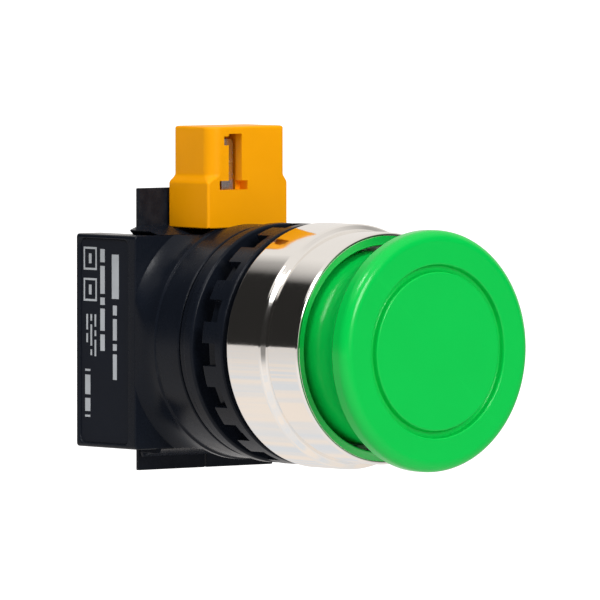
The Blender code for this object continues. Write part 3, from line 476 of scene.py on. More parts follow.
def even_normals(obj):
    """Normals weighted by face area, so that flats stay flat beside their roundings."""
    modifier = obj.modifiers.new("even_normals", "WEIGHTED_NORMAL")
    modifier.keep_sharp = True
    return obj


def softened(node, width):
    """A merged copy of a CAD node's mesh with its edges rounded."""
    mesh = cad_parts[node].data.copy()
    mesh.materials.clear()
    form = bmesh.new()
    form.from_mesh(mesh)
    bmesh.ops.remove_doubles(form, verts=form.verts, dist=1e-6)
    bmesh.ops.dissolve_limit(form, angle_limit=math.radians(0.5), verts=form.verts, edges=form.edges)
    form.to_mesh(mesh)
    form.free()
    obj = link(node + "_piece", mesh)
    shade(obj, 30.0)
    bevel = obj.modifiers.new("edges", "BEVEL")
    bevel.width, bevel.segments = width * MM, 2
    bevel.limit_method, bevel.angle_limit = "ANGLE", math.radians(30)
    bevel.harden_normals = True
    return obj


def settle(obj, context, finish, body, *nodes, slot=True):
    """Give a piece its finish and body, and let it stand for CAD nodes."""
    obj.data.materials.clear()
    obj.data.materials.append(finish_called(finish, context))
    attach(obj, body)
    if nodes:
        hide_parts(*nodes)
    return obj


# --- the moving head ---
NECK_RADIUS = 11.7
SKIRT_BORE = 9.3
HEAD_ROOF = 2.6
FLARE_POWER = 2.2
STUD_SOCKET = 2.5
BOSS_RADIUS, BOSS_REAR = 4.2, 13.0


def make_button_cap(context):
    """Head: a grooved flat face, a rounded rim and a neck that flares as t to a power."""
    sizes = context.scene.push_button_sizes
    groove, width = sizes.face_groove_radius / MM, sizes.face_groove_width / MM
    depth, edge = sizes.face_groove_depth / MM, sizes.cap_edge / MM
    face, rim = CAP.front, CAP.front - sizes.rim_height / MM
    flare_low, roof = BEZEL.front + 0.6, CAP.front - HEAD_ROOF
    t = np.linspace(0.97, 0.0, 26)
    flare = np.stack([NECK_RADIUS + (CAP.radius - NECK_RADIUS) * t ** FLARE_POWER,
                      flare_low + (rim - flare_low) * t], -1)
    top = rounded([(0, face), (groove - width / 2, face, 0.2), (groove - width / 3, face - depth, 0.2),
                   (groove + width / 3, face - depth, 0.2), (groove + width / 2, face, 0.2),
                   (CAP.radius, face, edge), (CAP.radius, rim, 0.12), tuple(flare[0])],
                  segments=7, closed=False)
    inner = rounded([(NECK_RADIUS, CAP.rear, 0.3), (SKIRT_BORE, CAP.rear, 0.3), (SKIRT_BORE, roof, 0.4),
                     (BOSS_RADIUS, roof, 0.3), (BOSS_RADIUS, BOSS_REAR, 0.2),
                     (STUD_SOCKET, BOSS_REAR, 0.2), (STUD_SOCKET, roof), (0, roof)], closed=False)
    cap = turned("head", np.concatenate([top, flare[1:], inner]), steps=256, sharp=50.0)
    settle(cap, context, "green_gloss", "button", "button_cap")


class PUSHBUTTON_OT_head(bpy.types.Operator):
    """Mushroom head with its face groove, rim and flared neck"""

    bl_idname = "pushbutton.head"
    bl_label = "Head"

    def execute(self, context):
        make_button_cap(context)
        return {"FINISHED"}


# --- the fixed operator ---
BEZEL_BORE = 12.4
BEZEL_FRONT_RADIUS = 14.05
BEZEL_SHOULDER = 6.3
POCKET_RADIUS = 13.6
POCKET_DEPTH = 3.7
MOUTH_SINK = 0.12
THREAD_BORE = 11.3
SLEEVE_BORE = 8.6
TAIL_RADIUS = 10.4
SNAP_TOP, SNAP_DEPTH, SNAP_WIDTH = -12.95, 0.7, 2.2
WEB_BORE, WEB_FRONT, WEB_REAR = 4.9, -1.9, -3.0
SEAL_POCKET = 6.6
STEPS_FINE = 256


def make_bezel(context):
    """Chromed ring: rear band, rolled shoulder, front band and a lip round a sunk mouth."""
    lip = context.scene.push_button_sizes.bezel_lip / MM
    mouth = BEZEL.front
    outline = rounded([
        (BEZEL_FRONT_RADIUS - 0.1, mouth, lip), (BEZEL_FRONT_RADIUS, BEZEL_SHOULDER + 0.5, 0.3),
        (BEZEL.radius, BEZEL_SHOULDER, 0.4), (BEZEL.radius, 0.0, 0.3), (POCKET_RADIUS, 0.0, 0.1),
        (POCKET_RADIUS, POCKET_DEPTH, 0.1), (BEZEL_BORE, POCKET_DEPTH, 0.1),
        (BEZEL_BORE, mouth - MOUTH_SINK - 0.2, 0.35),
        (BEZEL_FRONT_RADIUS - 0.4, mouth - MOUTH_SINK, 0.1),
        (BEZEL_FRONT_RADIUS - 0.5, mouth, 0.04)], segments=8)
    settle(turned("bezel_ring", outline, STEPS_FINE, 60.0), context, "chrome", "body", "bezel")


class PUSHBUTTON_OT_bezel(bpy.types.Operator):
    """Chromed bezel with its shoulder and mouth"""

    bl_idname = "pushbutton.bezel"
    bl_label = "Bezel"

    def execute(self, context):
        make_bezel(context)
        return {"FINISHED"}


THREAD_FRONT, THREAD_REAR = -1.2, -6.8
FLANGE_REAR, FLANGE_FRONT = 1.1, 3.4


def make_sleeve(context):
    """Threaded barrel: radius root + depth w((f - t / 360) / pitch), with w a flat-topped wave.

    The wave fades in and out over half a pitch at both ends of the thread."""
    sizes = context.scene.push_button_sizes
    pitch, depth = sizes.thread_pitch / MM, sizes.thread_depth / MM
    crest = THREAD_BORE - 0.3
    root = crest - depth
    thread = np.linspace(THREAD_FRONT, THREAD_REAR, 64)
    head = rounded([(SLEEVE_BORE, FLANGE_FRONT, 0.2), (POCKET_RADIUS - 0.3, FLANGE_FRONT, 0.2),
                    (POCKET_RADIUS - 0.3, FLANGE_REAR, 0.15), (root, FLANGE_REAR, 0.2),
                    (root, THREAD_FRONT)], closed=False)
    snap_low, snap_floor = SNAP_TOP - SNAP_WIDTH, TAIL_RADIUS - SNAP_DEPTH
    tail = rounded([(root, THREAD_REAR), (root, THREAD_REAR - 0.2), (TAIL_RADIUS, THREAD_REAR - 0.3),
                    (TAIL_RADIUS, SNAP_TOP, 0.1), (snap_floor, SNAP_TOP, 0.1),
                    (snap_floor, snap_low, 0.1), (TAIL_RADIUS, snap_low, 0.1),
                    (TAIL_RADIUS, SLEEVE.rear, 0.25), (SLEEVE_BORE, SLEEVE.rear, 0.25),
                    (SLEEVE_BORE, WEB_REAR, 0.2), (WEB_BORE, WEB_REAR, 0.15),
                    (WEB_BORE, WEB_FRONT, 0.1), (SEAL_POCKET, WEB_FRONT, 0.1),
                    (SEAL_POCKET, 0.0, 0.15), (SLEEVE_BORE, 0.0, 0.2)], closed=False)
    outline = np.concatenate([head, np.stack([np.full(64, root), thread], -1), tail])
    radius, front = outline[:, :1], outline[:, 1:]
    steps = 160
    t = np.arange(steps) / steps
    wave = np.clip(1.6 - 4.4 * np.abs((front / pitch + t) % 1.0 - 0.5), 0.0, 1.0)
    fade_in = np.clip((THREAD_FRONT - front) / (pitch / 2), 0, 1)
    fade_out = np.clip((front - THREAD_REAR) / (pitch / 2), 0, 1)
    outside = (radius > root - 0.01) & (radius < crest)
    points = spun(radius + depth * wave * fade_in * fade_out * outside, front, t * FULL_TURN)
    faces = grid_faces(len(outline), steps, True, True)
    sleeve = new_piece("threaded_sleeve", points, faces, sharp=50.0)
    settle(sleeve, context, "die_cast", "body", "operator_sleeve")
    lip = 0.45
    seal = rounded([(WEB_BORE, -0.02, 0.1), (SEAL.radius - lip, -0.02, 0.15), (SEAL.radius, -lip, 0.15),
                    (SEAL.radius, SEAL.rear, 0.1), (WEB_BORE + lip, SEAL.rear, 0.1),
                    (WEB_BORE + lip, SEAL.rear + lip, 0.1), (WEB_BORE, -lip, 0.1)])
    settle(turned("lip_seal", seal, 96), context, "rubber", "body", "shaft_seal")


class PUSHBUTTON_OT_sleeve(bpy.types.Operator):
    """Threaded sleeve with its helical thread, web and lip seal"""

    bl_idname = "pushbutton.sleeve"
    bl_label = "Sleeve and seal"

    def execute(self, context):
        make_sleeve(context)
        return {"FINISHED"}


def make_plunger(context):
    """Plunger turned from its outline, with the clip and the pusher softened from the frame."""
    disc_front, disc_rear, disc = 12.7, 11.2, 8.2
    stem, core, pin = 4.6, 3.9, 2.4
    clip_front, clip_rear, pin_front = -3.0, -4.6, -10.05
    outline = rounded([(0, PLUNGER.front), (2.2, PLUNGER.front, 0.3), (2.2, disc_front, 0.3),
                       (disc, disc_front, 0.2), (disc, disc_rear, 0.2), (stem, disc_rear, 0.3),
                       (stem, clip_front), (core, clip_front), (core, clip_rear), (stem, clip_rear),
                       (stem, pin_front, 0.2), (pin, pin_front, 0.2), (pin, PLUNGER.rear, 0.3),
                       (0, PLUNGER.rear)], closed=False)
    settle(turned("plunger_stem", outline, 96), context, "grey_plastic", "button", "plunger")
    settle(softened("retaining_clip", 0.08), context, "spring_steel", "button", "retaining_clip")
    settle(softened("pusher", 0.12), context, "black_plastic", "button", "pusher")


class PUSHBUTTON_OT_plunger(bpy.types.Operator):
    """Plunger with its retaining clip and pusher"""

    bl_idname = "pushbutton.plunger"
    bl_label = "Plunger"

    def execute(self, context):
        make_plunger(context)
        return {"FINISHED"}


def make_springs(context):
    """Three compression springs, whose pitch eases off towards both ends.

    The wire's centre runs at (R cos t, f(t), R sin t), where f rises with
    u - 0.8 sin(2 pi u) / (2 pi) over the length u of the coil, and its section is a circle
    in the plane of the radius and the axis.  A spring between parts that close in on each
    other is listed with their joint and gets a mesh of its own; keep, the share of its length
    that would be left when it is squashed, is not used."""
    for node, finish_body, middle, turns, wire_radius, joint, keep in (
            ("return_spring", "body", 0.0, 6.0, 0.38, "button_press", 0.64),
            ("no_contact_spring", "no_slider", None, 4.0, 0.17, "no_carrier_slide", 0.5),
            ("nc_contact_spring", "nc_slider", None, 4.0, 0.17, None, 1.0)):
        place = Extent(node)
        centre = place.middle if middle is None else middle
        radius = place.radius - wire_radius
        low, high = place.rear + wire_radius, place.front - wire_radius
        u = np.linspace(0.0, 1.0, int(turns * 40) + 1)[:, None]
        rise = u - np.sin(FULL_TURN * u) / FULL_TURN * 0.8
        front = low + (high - low) * rise
        t = u * turns * FULL_TURN
        s = np.arange(12) * FULL_TURN / 12
        reach = radius + wire_radius * np.cos(s)
        level = front + wire_radius * np.sin(s)
        loops = np.stack([centre + reach * np.cos(t), -level, reach * np.sin(t)], -1)
        spring = lofted(node + "_wire", loops)
        settle(spring, context, "spring_steel", finish_body, node)
        if joint:
            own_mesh(spring)


class PUSHBUTTON_OT_springs(bpy.types.Operator):
    """Return spring and contact springs"""

    bl_idname = "pushbutton.springs"
    bl_label = "Springs"

    def execute(self, context):
        make_springs(context)
        return {"FINISHED"}


# --- rings behind the panel ---
NOTCHES = 17
NOTCH_WIDTH = 2.8
NOTCH_DEPTH = 1.2
FIRST_NOTCH = 183.5
RING_BAND = 1.3


def make_panel_rings(context):
    """Rubber gasket and plain thrust washer."""
    for name, node, place, edge, finish, body in (
            ("gasket_ring", "panel_gasket", GASKET, 0.2, "rubber", "body"),
            ("thrust_ring", "thrust_washer", WASHER, 0.12, "grey_plastic", "ring_washer")):
        outline = rectangle(THREAD_BORE, place.radius, place.front, place.rear, edge, 4)
        settle(turned(name, outline), context, finish, body, node)


def make_locking_ring(context):
    """Ring nut turned from its outline, with a ring of notches cut from behind."""
    outline = rounded([(THREAD_BORE, RING.front, 0.15), (RING.radius, RING.front, 0.25),
                       (RING.radius, RING.rear, 0.15), (THREAD_BORE, RING.rear, 0.15)], 4)
    ring = turned("ring_nut", outline, 340)
    near, far = RING.radius - NOTCH_DEPTH, RING.radius + 1.0
    cutters = []
    for i in range(NOTCHES):
        cutter = block(f"notch_{i}", near, far, RING.rear - 1.0, RING.front - RING_BAND,
                       -NOTCH_WIDTH / 2, NOTCH_WIDTH / 2)
        turn = math.radians(FIRST_NOTCH) + FULL_TURN * i / NOTCHES
        cutter.data.transform(Matrix.Rotation(-turn, 4, "Y"))
        cutters.append(cutter)
    combine(ring, cutters, "DIFFERENCE")
    settle(even_normals(ring), context, "black_plastic", "ring_nut", "locking_ring")


class PUSHBUTTON_OT_panel_rings(bpy.types.Operator):
    """Gasket, thrust washer and notched ring nut"""

    bl_idname = "pushbutton.panel_rings"
    bl_label = "Panel rings"

    def execute(self, context):
        make_panel_rings(context)
        make_locking_ring(context)
        return {"FINISHED"}


# --- adapter ---
COLLAR_RADIUS = 14.25
COLLAR_BORE, COLLAR_FLOOR = 12.9, -16.95
OPENING_RADIUS, OPENING_FRONT, OPENING_REAR = 8.9, -15.9, -20.4
COLLAR_FRONT = -9.75
COLLAR_STEP, COLLAR_BAND = 0.2, 4.3
BLOCK_FRONT = -17.85
HALF_WIDTH, HALF_HEIGHT = 14.4, 13.0
FLARE, FLARE_RISE = 1.0, 3.0
LABEL_DEPTH = 0.3
LABEL_FRONT_MARGIN, LABEL_EDGE_MARGIN = 1.4, 0.5
CONTACT_FRONT = -19.65
EAR_FRONT = -21.95
BAY_HALF_WIDTH, BAY_HALF_HEIGHT = 10.85, 12.3
LOCK_SEAT = 13.7


def make_nose(context):
    """Flanged bush in front of the adapter's collar."""
    flange_rear, neck_rear = -8.45, -9.45
    outline = rounded([
        (THREAD_BORE, NOSE.front, 0.2), (NOSE.radius, NOSE.front, 0.35),
        (NOSE.radius, flange_rear, 0.2), (COLLAR_RADIUS, flange_rear, 0.1),
        (COLLAR_RADIUS, neck_rear, 0.15), (COLLAR_BORE - 0.3, neck_rear, 0.1),
        (COLLAR_BORE - 0.3, NOSE.rear, 0.15), (THREAD_BORE, NOSE.rear, 0.15)], 6)
    settle(turned("nose_bush", outline, STEPS_FINE), context, "black_plastic", "body", "adapter_nose")


def make_adapter(context):
    """Collar, block and wedges fused, then hollowed for the pieces inside."""
    corner, edge = 0.4, 0.15
    outline = rectangle(-HALF_WIDTH, HALF_WIDTH, -HALF_HEIGHT, HALF_HEIGHT, corner)
    body = slab("adapter_shell", outline, BODY.rear, BLOCK_FRONT, "front", edge)
    combine(body, [make_wedge(1.0, BAY_HALF_WIDTH + 1.3, 1.4),
                   make_wedge(-1.0, BAY_HALF_WIDTH - 0.3, 0.2), make_collar()], "UNION")
    tall = 20.0
    lever_x = LEVER.middle
    lock_half = LOCK.radius + 0.3
    hollows = [
        disc_cutter("bore", COLLAR_BORE, COLLAR_FRONT + 1, COLLAR_FLOOR, STEPS_FINE),
        disc_cutter("opening", OPENING_RADIUS, OPENING_FRONT, OPENING_REAR, 96),
        block("bay", -BAY_HALF_WIDTH, BAY_HALF_WIDTH, BODY.rear - 1, CONTACT_FRONT + 0.3,
              -BAY_HALF_HEIGHT, BAY_HALF_HEIGHT),
        block("ear_bay", -BAY_HALF_WIDTH, BAY_HALF_WIDTH, BODY.rear - 1, EAR_FRONT + 0.3, -tall, tall),
        block("seat", -lock_half, lock_half, EAR_FRONT - 0.2, LOCK.front + 0.3, LOCK_SEAT, tall),
        block("lever_slot", lever_x - 1.2, lever_x + 1.2, LEVER.rear - 0.3, LEVER.front + 0.3,
              COLLAR_BORE - 2, tall),
    ]
    combine(body, [*hollows, label_cutter(-1.0), label_cutter(1.0)], "DIFFERENCE")
    settle(even_normals(body), context, "black_plastic", "body", "adapter_body")


def disc_cutter(name, radius, front, rear, steps):
    """A round block on the button's axis."""
    return turned(name, [(0, front), (radius, front), (radius, rear), (0, rear)], steps)


def make_collar():
    """Collar whose foot flares onto the block.

    The foot's radius grows by FLARE t squared while it falls FLARE_RISE t to the block.
    Behind the step the radius r gives way softly to the block's sides, which lie at
    s = half width / |cos a|: it becomes -log(exp(-k r) + exp(-k s)) / k."""
    step, softness, steps = COLLAR_FRONT - COLLAR_BAND, 7.0, STEPS_FINE
    start = COLLAR_RADIUS + COLLAR_STEP
    foot = BLOCK_FRONT + FLARE_RISE
    band = rounded([(0, COLLAR_FRONT), (COLLAR_RADIUS, COLLAR_FRONT, 0.2),
                    (COLLAR_RADIUS, step, 0.05), (start, step - COLLAR_STEP, 0.08),
                    (start, foot)], closed=False)
    t = np.linspace(0.0, 1.0, 16)[1:]
    flare = np.stack([start + FLARE * t ** 2, foot - FLARE_RISE * t], -1)
    outline = np.concatenate([band, flare, [(start + FLARE, BLOCK_FRONT - 0.8), (0, BLOCK_FRONT - 0.8)]])
    angle = np.arange(steps) * FULL_TURN / steps
    radius, front = outline[:, :1], outline[:, 1:]
    side = HALF_WIDTH / np.maximum(np.abs(np.cos(angle)), 0.2)
    soft = -np.log(np.exp(-softness * radius) + np.exp(-softness * side)) / softness
    radius = np.where((front < step - 0.02) & (radius > 1.0), soft, radius)
    faces = grid_faces(len(outline), steps, False, True)
    collar = new_piece("collar", spun(radius, front, angle), faces)
    wide = HALF_WIDTH + 3
    trims = [block("trim", -wide, wide, BLOCK_FRONT - 2, foot, *sorted((z, 2 * z)))
             for z in (HALF_HEIGHT, -HALF_HEIGHT)]
    return combine(collar, trims, "DIFFERENCE")


def make_wedge(side, half, pinch):
    """A ramp that rises to the ears, with ends pinched to a horizontal edge.

    The profile (front, height) is lofted across the button; over the pinch each of its
    heights closes in on the edge's height."""
    rear, rise = EAR_FRONT + 0.3, 1.1
    profile = np.array([(rear, -0.9), (BLOCK_FRONT - 0.8, -0.9), (BLOCK_FRONT, 0.02),
                        (rear + 0.4, rise), (rear, rise)])
    tip = 0.55
    loops = []
    for x, share in ((-half, 0.06), (-half + pinch, 1.0), (half - pinch, 1.0), (half, 0.06)):
        height = HALF_HEIGHT + tip + (profile[:, 1] - tip) * share
        loops.append(laid(np.stack([profile[:, 0], side * height], -1), x, "side"))
    return lofted("wedge_upper" if side > 0 else "wedge_lower", loops)


def label_outline(inset, corner):
    """The label recess's outline (front, height), inset on every side."""
    high = HALF_HEIGHT - LABEL_EDGE_MARGIN - inset
    return rectangle(BODY.rear + LABEL_EDGE_MARGIN + inset, BLOCK_FRONT - LABEL_FRONT_MARGIN - inset,
                     -high, high, corner)


def label_cutter(side):
    """Cutter of a recess whose walls slope outwards to a rounded mouth."""
    steps = ((LABEL_DEPTH, 0.1), (0.1, 0.02), (0.04, -0.02), (0.0, -0.09), (-1.0, -0.09))
    return lofted(f"label_{'right' if side > 0 else 'left'}",
                  [laid(label_outline(inset, 0.9), side * (HALF_WIDTH - depth), "side")
                   for depth, inset in steps])


class PUSHBUTTON_OT_adapter(bpy.types.Operator):
    """Adapter: nose bush, collar, block, contact bay and label recesses"""

    bl_idname = "pushbutton.adapter"
    bl_label = "Adapter"

    def execute(self, context):
        make_nose(context)
        make_adapter(context)
        return {"FINISHED"}


BAR_GAP = 0.45
PLATE_THICKNESS = 0.06
PRINT_RISE = 0.02


def make_labels(context):
    """A thin plate on the floor of each recess, with plain bars and frames on the left one.

    The marks are columns of bars (front, width, first height, lengths) that run downwards
    with a constant gap."""
    plate = label_outline(0.16, 0.8)
    floor = HALF_WIDTH - LABEL_DEPTH
    for side, name in ((-1.0, "label_left"), (1.0, "label_right")):
        level = sorted((side * (floor - 0.02), side * (floor + PLATE_THICKNESS)))
        settle(slab(name, plate, *level, "side"), context, "label_panel", "body", slot=False)
    bars = []
    outer = -(floor + PLATE_THICKNESS + PRINT_RISE)

    def bar(f, width, top, bottom):
        bars.append(block("bar", outer, outer + PRINT_RISE + 0.02, f - width / 2, f + width / 2,
                          bottom, top))

    columns = ((-22.0, 1.35, 10.6, (5.4,)), (-22.1, 0.75, 4.4, (1.2, 2.6, 0.8, 3.1)),
               (-24.5, 0.85, 11.2, (1.6, 3.4, 0.9, 2.7, 2.0)), (-25.9, 0.3, 3.2, (1.5, 0.7, 2.0)),
               (-26.7, 0.3, 3.2, (0.8, 2.6, 0.7)), (-27.5, 0.3, 3.2, (1.9, 1.1)),
               (-27.4, 1.0, -3.5, (0.25, 2.4, 1.6, 0.25)))
    for f, width, z, lengths in columns:
        for run in lengths:
            bar(f, width, z, z - run)
            z -= run + BAR_GAP
    for z in (11.4, 7.6):
        for f, width, top, bottom in ((-25.75, 0.25, z, z - 2.8), (-28.05, 0.25, z, z - 2.8),
                                      (-26.9, 2.0, z, z - 0.25), (-26.9, 2.0, z - 2.55, z - 2.8),
                                      (-26.9, 0.5, z - 0.8, z - 2.0)):
            bar(f, width, top, bottom)
    settle(joined("label_marks", bars), context, "label_print", "body", slot=False)


def joined(name, pieces):
    """One object from several that lie apart."""
    form = bmesh.new()
    for piece in pieces:
        form.from_mesh(piece.data)
        bpy.data.objects.remove(piece, do_unlink=True)
    mesh = bpy.data.meshes.new(name)
    form.to_mesh(mesh)
    form.free()
    return shade(link(name, mesh))


# --- lever, bayonet ring and safety lock ---
LOCK_TOP_WIDTH, LOCK_SHOULDER, LOCK_SLOPE = 11.5, 5.5, 1.2
LOCK_LOWER_CORNER, LOCK_BACK_STEP = 0.3, 0.35
SLIT_WIDTH, SLIT_BOTTOM, FOOT_WIDTH, FOOT_HEIGHT = 2.04, 4.4, 4.4, 1.1
EYE_WIDTH, EYE_HEIGHT = 1.4, 1.1
LOCK_ROOF = 0.9


def make_safety_lock(context):
    """Clip lofted upwards through rounded rectangles.

    Width, back and corner radius change with smooth steps between the shoulder and the
    slope's top; the top edge shrinks by r (1 - sin a) while it rises by r (1 - cos a)."""
    upper_corner = context.scene.push_button_sizes.lock_corner / MM
    top_round, sink = 0.3, 0.25
    foot_level = LOCK.bottom - sink
    shoulder = LOCK.bottom + LOCK_SHOULDER - 0.4
    slope_top = shoulder + LOCK_SLOPE
    heights = np.concatenate([[foot_level, foot_level + 0.1, shoulder - 0.5],
                              np.linspace(shoulder - 0.3, slope_top + 0.3, 14),
                              [slope_top + 0.6, LOCK.top - top_round - 0.3]])
    levels = [(height, 0.0) for height in heights]
    levels[0] = (foot_level, 0.1)
    for a in np.linspace(0.0, math.pi / 2, 7):
        levels.append((LOCK.top - top_round * (1 - math.sin(a)), top_round * (1 - math.cos(a))))
    lock = lofted("lock_clip_shell", [lock_loop(height, shoulder, slope_top, upper_corner, inset)
                                      for height, inset in levels])
    x, face, behind = LEVER.middle, LOCK.front + 1.0, LEVER.front
    inner_top = LOCK.top - LOCK_ROOF
    slit_low = LOCK.bottom + SLIT_BOTTOM
    eye_right, eye_top = x - SLIT_WIDTH / 2 + 0.7, inner_top - 0.3
    foot = x - 0.25
    combine(lock, [
        block("pocket", x - 1.2, x + 1.2, LEVER.rear - 0.3, LEVER.front + 0.3, LOCK.bottom - 1,
              inner_top),
        block("slit", x - SLIT_WIDTH / 2, x + SLIT_WIDTH / 2, behind, face, slit_low, inner_top),
        block("foot", foot - FOOT_WIDTH / 2, foot + FOOT_WIDTH / 2, behind, face, slit_low,
              slit_low + FOOT_HEIGHT),
        block("eye", eye_right - EYE_WIDTH, eye_right, behind, face, eye_top - EYE_HEIGHT, eye_top),
    ], "DIFFERENCE")
    settle(even_normals(lock), context, "yellow_plastic", "lock_clip", "safety_lock")


def lock_loop(height, shoulder, slope_top, upper_corner, inset):
    """One horizontal section of the safety lock."""
    s = min(1.0, max(0.0, (height - shoulder) / (slope_top - shoulder)))
    s = s * s * (3 - 2 * s)
    half = LOCK.radius + (LOCK_TOP_WIDTH / 2 - LOCK.radius) * s - inset
    rear = LOCK.rear + LOCK_BACK_STEP * s + inset
    front = LOCK.front - inset
    near, back, far = (LOCK_LOWER_CORNER + growth * s
                       for growth in (upper_corner - LOCK_LOWER_CORNER, 0.3, 0.2))
    return laid(rounded([(-half, rear, back), (half, rear, back), (half, front, far),
                         (-half, front, near)], 8), height, "up")


class PUSHBUTTON_OT_lock(bpy.types.Operator):
    """Safety lock, the lever under it and the bayonet ring"""

    bl_idname = "pushbutton.lock"
    bl_label = "Safety lock"

    def execute(self, context):
        make_safety_lock(context)
        sizes = context.scene.push_button_sizes
        settle(softened("locking_lever", sizes.sheet_edge / MM), context, "zinc_steel", "body",
               "locking_lever")
        settle(softened("bayonet_ring", sizes.moulded_edge / MM), context, "black_plastic", "body",
               "bayonet_ring")
        return {"FINISHED"}


# --- contact blocks ---
def make_contacts(context):
    """Housings, covers, carriers, bridges, strips and clamps, softened from the frame."""
    sizes = context.scene.push_button_sizes
    moulded, sheet = sizes.moulded_edge / MM, sizes.sheet_edge / MM
    for kind in ("no", "nc"):
        for piece, width, finish, body in (
                ("housing", moulded, "black_plastic", "body"),
                ("cover", moulded, "black_plastic", "body"),
                ("carrier", moulded, "grey_plastic", kind + "_slider"),
                ("bridge", sheet, "silver_alloy", kind + "_bar"),
                ("upper_terminal", sheet, "brass", "body"), ("lower_terminal", sheet, "brass", "body"),
                ("upper_clamp", sheet, "zinc_steel", "body"),
                ("lower_clamp", sheet, "zinc_steel", "body")):
            node = f"{kind}_{piece}"
            settle(softened(node, width), context, finish, body, node)


class PUSHBUTTON_OT_contacts(bpy.types.Operator):
    """Both contact blocks with their sliding carriers and terminals"""

    bl_idname = "pushbutton.contacts"
    bl_label = "Contact blocks"

    def execute(self, context):
        make_contacts(context)
        return {"FINISHED"}


SCREW_RADIUS = 1.5
SCREW_HEAD = 1.7
SLOT_WIDTH = 0.8


def make_screws(context):
    """Terminal screws: a thread of small ridges, a domed head and a driver slot."""
    for node in [f"{kind}_{end}_screw" for kind in ("no", "nc") for end in ("upper", "lower")]:
        place = Extent(node)
        x, z = place.middle, (place.top + place.bottom) / 2
        seat = place.rear + SCREW_HEAD
        crests = np.arange(seat + 0.3, place.front - 0.3, 0.6)
        ridges = np.stack([np.tile([SCREW_RADIUS - 0.18, SCREW_RADIUS], len(crests)),
                           np.stack([crests, crests + 0.3], -1).ravel()], -1)[::-1]
        head = rounded([(SCREW_RADIUS - 0.18, seat), (place.radius, seat, 0.12),
                        (place.radius, place.rear + 0.5, 0.3), (place.radius * 0.72, place.rear, 0.5),
                        (0, place.rear)], closed=False)
        outline = np.concatenate([[(0, place.front), (SCREW_RADIUS - 0.3, place.front)], ridges, head])
        screw = turned(node + "_turned", outline, 64, 30.0)
        screw.data.transform(Matrix.Translation((x * MM, 0.0, z * MM)))
        slot = block("driver_slot", x - 3, x + 3, place.rear - 1, place.rear + SLOT_WIDTH,
                     z - SLOT_WIDTH / 2, z + SLOT_WIDTH / 2)
        combine(screw, [slot], "DIFFERENCE")
        settle(even_normals(screw), context, "zinc_steel", "body", node)


class PUSHBUTTON_OT_screws(bpy.types.Operator):
    """Terminal screws with slotted heads"""

    bl_idname = "pushbutton.screws"
    bl_label = "Terminal screws"

    def execute(self, context):
        make_screws(context)
        return {"FINISHED"}


class PUSHBUTTON_OT_label(bpy.types.Operator):
    """Label plates with plain marks on the left one"""

    bl_idname = "pushbutton.label"
    bl_label = "Labels"

    def execute(self, context):
        make_labels(context)
        return {"FINISHED"}


# --- studio ---
CAMERA_AZIMUTH, CAMERA_ELEVATION = -39.610, 2.492
CAMERA_DISTANCE = 1300.0
CAMERA_RIGHT, CAMERA_UP = -2.499, 5.420
CAMERA_LENS = 645.54
SENSOR = 36.0
FLOOR_DROP = 0.25
FLOOR_HALF = 60.0
WHITE = (1.0, 1.0, 1.0, 1.0)


def make_camera(context):
    """Long lens camera at the viewing angle; its aim is offset sideways and up."""
    a, e = math.radians(CAMERA_AZIMUTH), math.radians(CAMERA_ELEVATION)
    back = Vector((math.sin(a) * math.cos(e), -math.cos(a) * math.cos(e), math.sin(e)))
    right = Vector((math.cos(a), math.sin(a), 0.0))
    up = back.cross(right)
    data = bpy.data.cameras.new("camera")
    data.lens, data.sensor_width = CAMERA_LENS, SENSOR
    data.clip_start, data.clip_end = 0.05, 200.0
    camera = bpy.data.objects.new("camera", data)
    context.scene.collection.objects.link(camera)
    camera.location = (back * CAMERA_DISTANCE + right * CAMERA_RIGHT + up * CAMERA_UP) * MM
    camera.rotation_mode = "QUATERNION"
    camera.rotation_quaternion = (-back).to_track_quat("-Z", "Y")
    context.scene.camera = camera


def make_world(context):
    """Studio surroundings: a bright ceiling, two dark walls and a white backdrop.

    The turn of a direction is its angle from the left towards the front.  One wall fills the
    left, from the back to the front and up to 39 degrees, and the other the front right.
    Each mask is a product of soft steps in turn and height.  Only the camera sees the
    backdrop."""
    world = bpy.data.worlds.new("studio")
    context.scene.world = world
    world.use_nodes = True
    tree = world.node_tree
    tree.nodes.clear()
    place = add_node(tree, "TexCoord").outputs["Generated"]
    x, y, z = add_node(tree, "SeparateXYZ", {"Vector": place}).outputs
    turn = maths(tree, "ARCTAN2", maths(tree, "MULTIPLY", y, -1.0), maths(tree, "MULTIPLY", x, -1.0))
    left = maths(tree, "MULTIPLY", remap(tree, turn, -1.65, -1.5, 0.0, 1.0),
                 remap(tree, turn, 1.15, 1.3, 1.0, 0.0), remap(tree, z, 0.6, 0.67, 1.0, 0.0))
    right = maths(tree, "MULTIPLY", remap(tree, turn, 1.65, 1.95, 0.0, 1.0),
                  remap(tree, turn, 2.8, 3.1, 1.0, 0.0), remap(tree, z, 0.5, 0.8, 1.0, 0.0))
    light = maths(tree, "MULTIPLY", remap(tree, left, 0.0, 1.0, 1.0, 0.025),
                  remap(tree, right, 0.0, 1.0, 1.0, 0.04), 0.85)
    sky = add_node(tree, "Background", {"Color": (1.0, 0.96, 0.92, 1.0), "Strength": light})
    backdrop = add_node(tree, "Background", {"Color": WHITE})
    is_camera = add_node(tree, "LightPath").outputs["Is Camera Ray"]
    mix = add_node(tree, "MixShader", {0: is_camera, 1: sky.outputs[0], 2: backdrop.outputs[0]})
    add_node(tree, "OutputWorld", {"Surface": mix.outputs[0]})


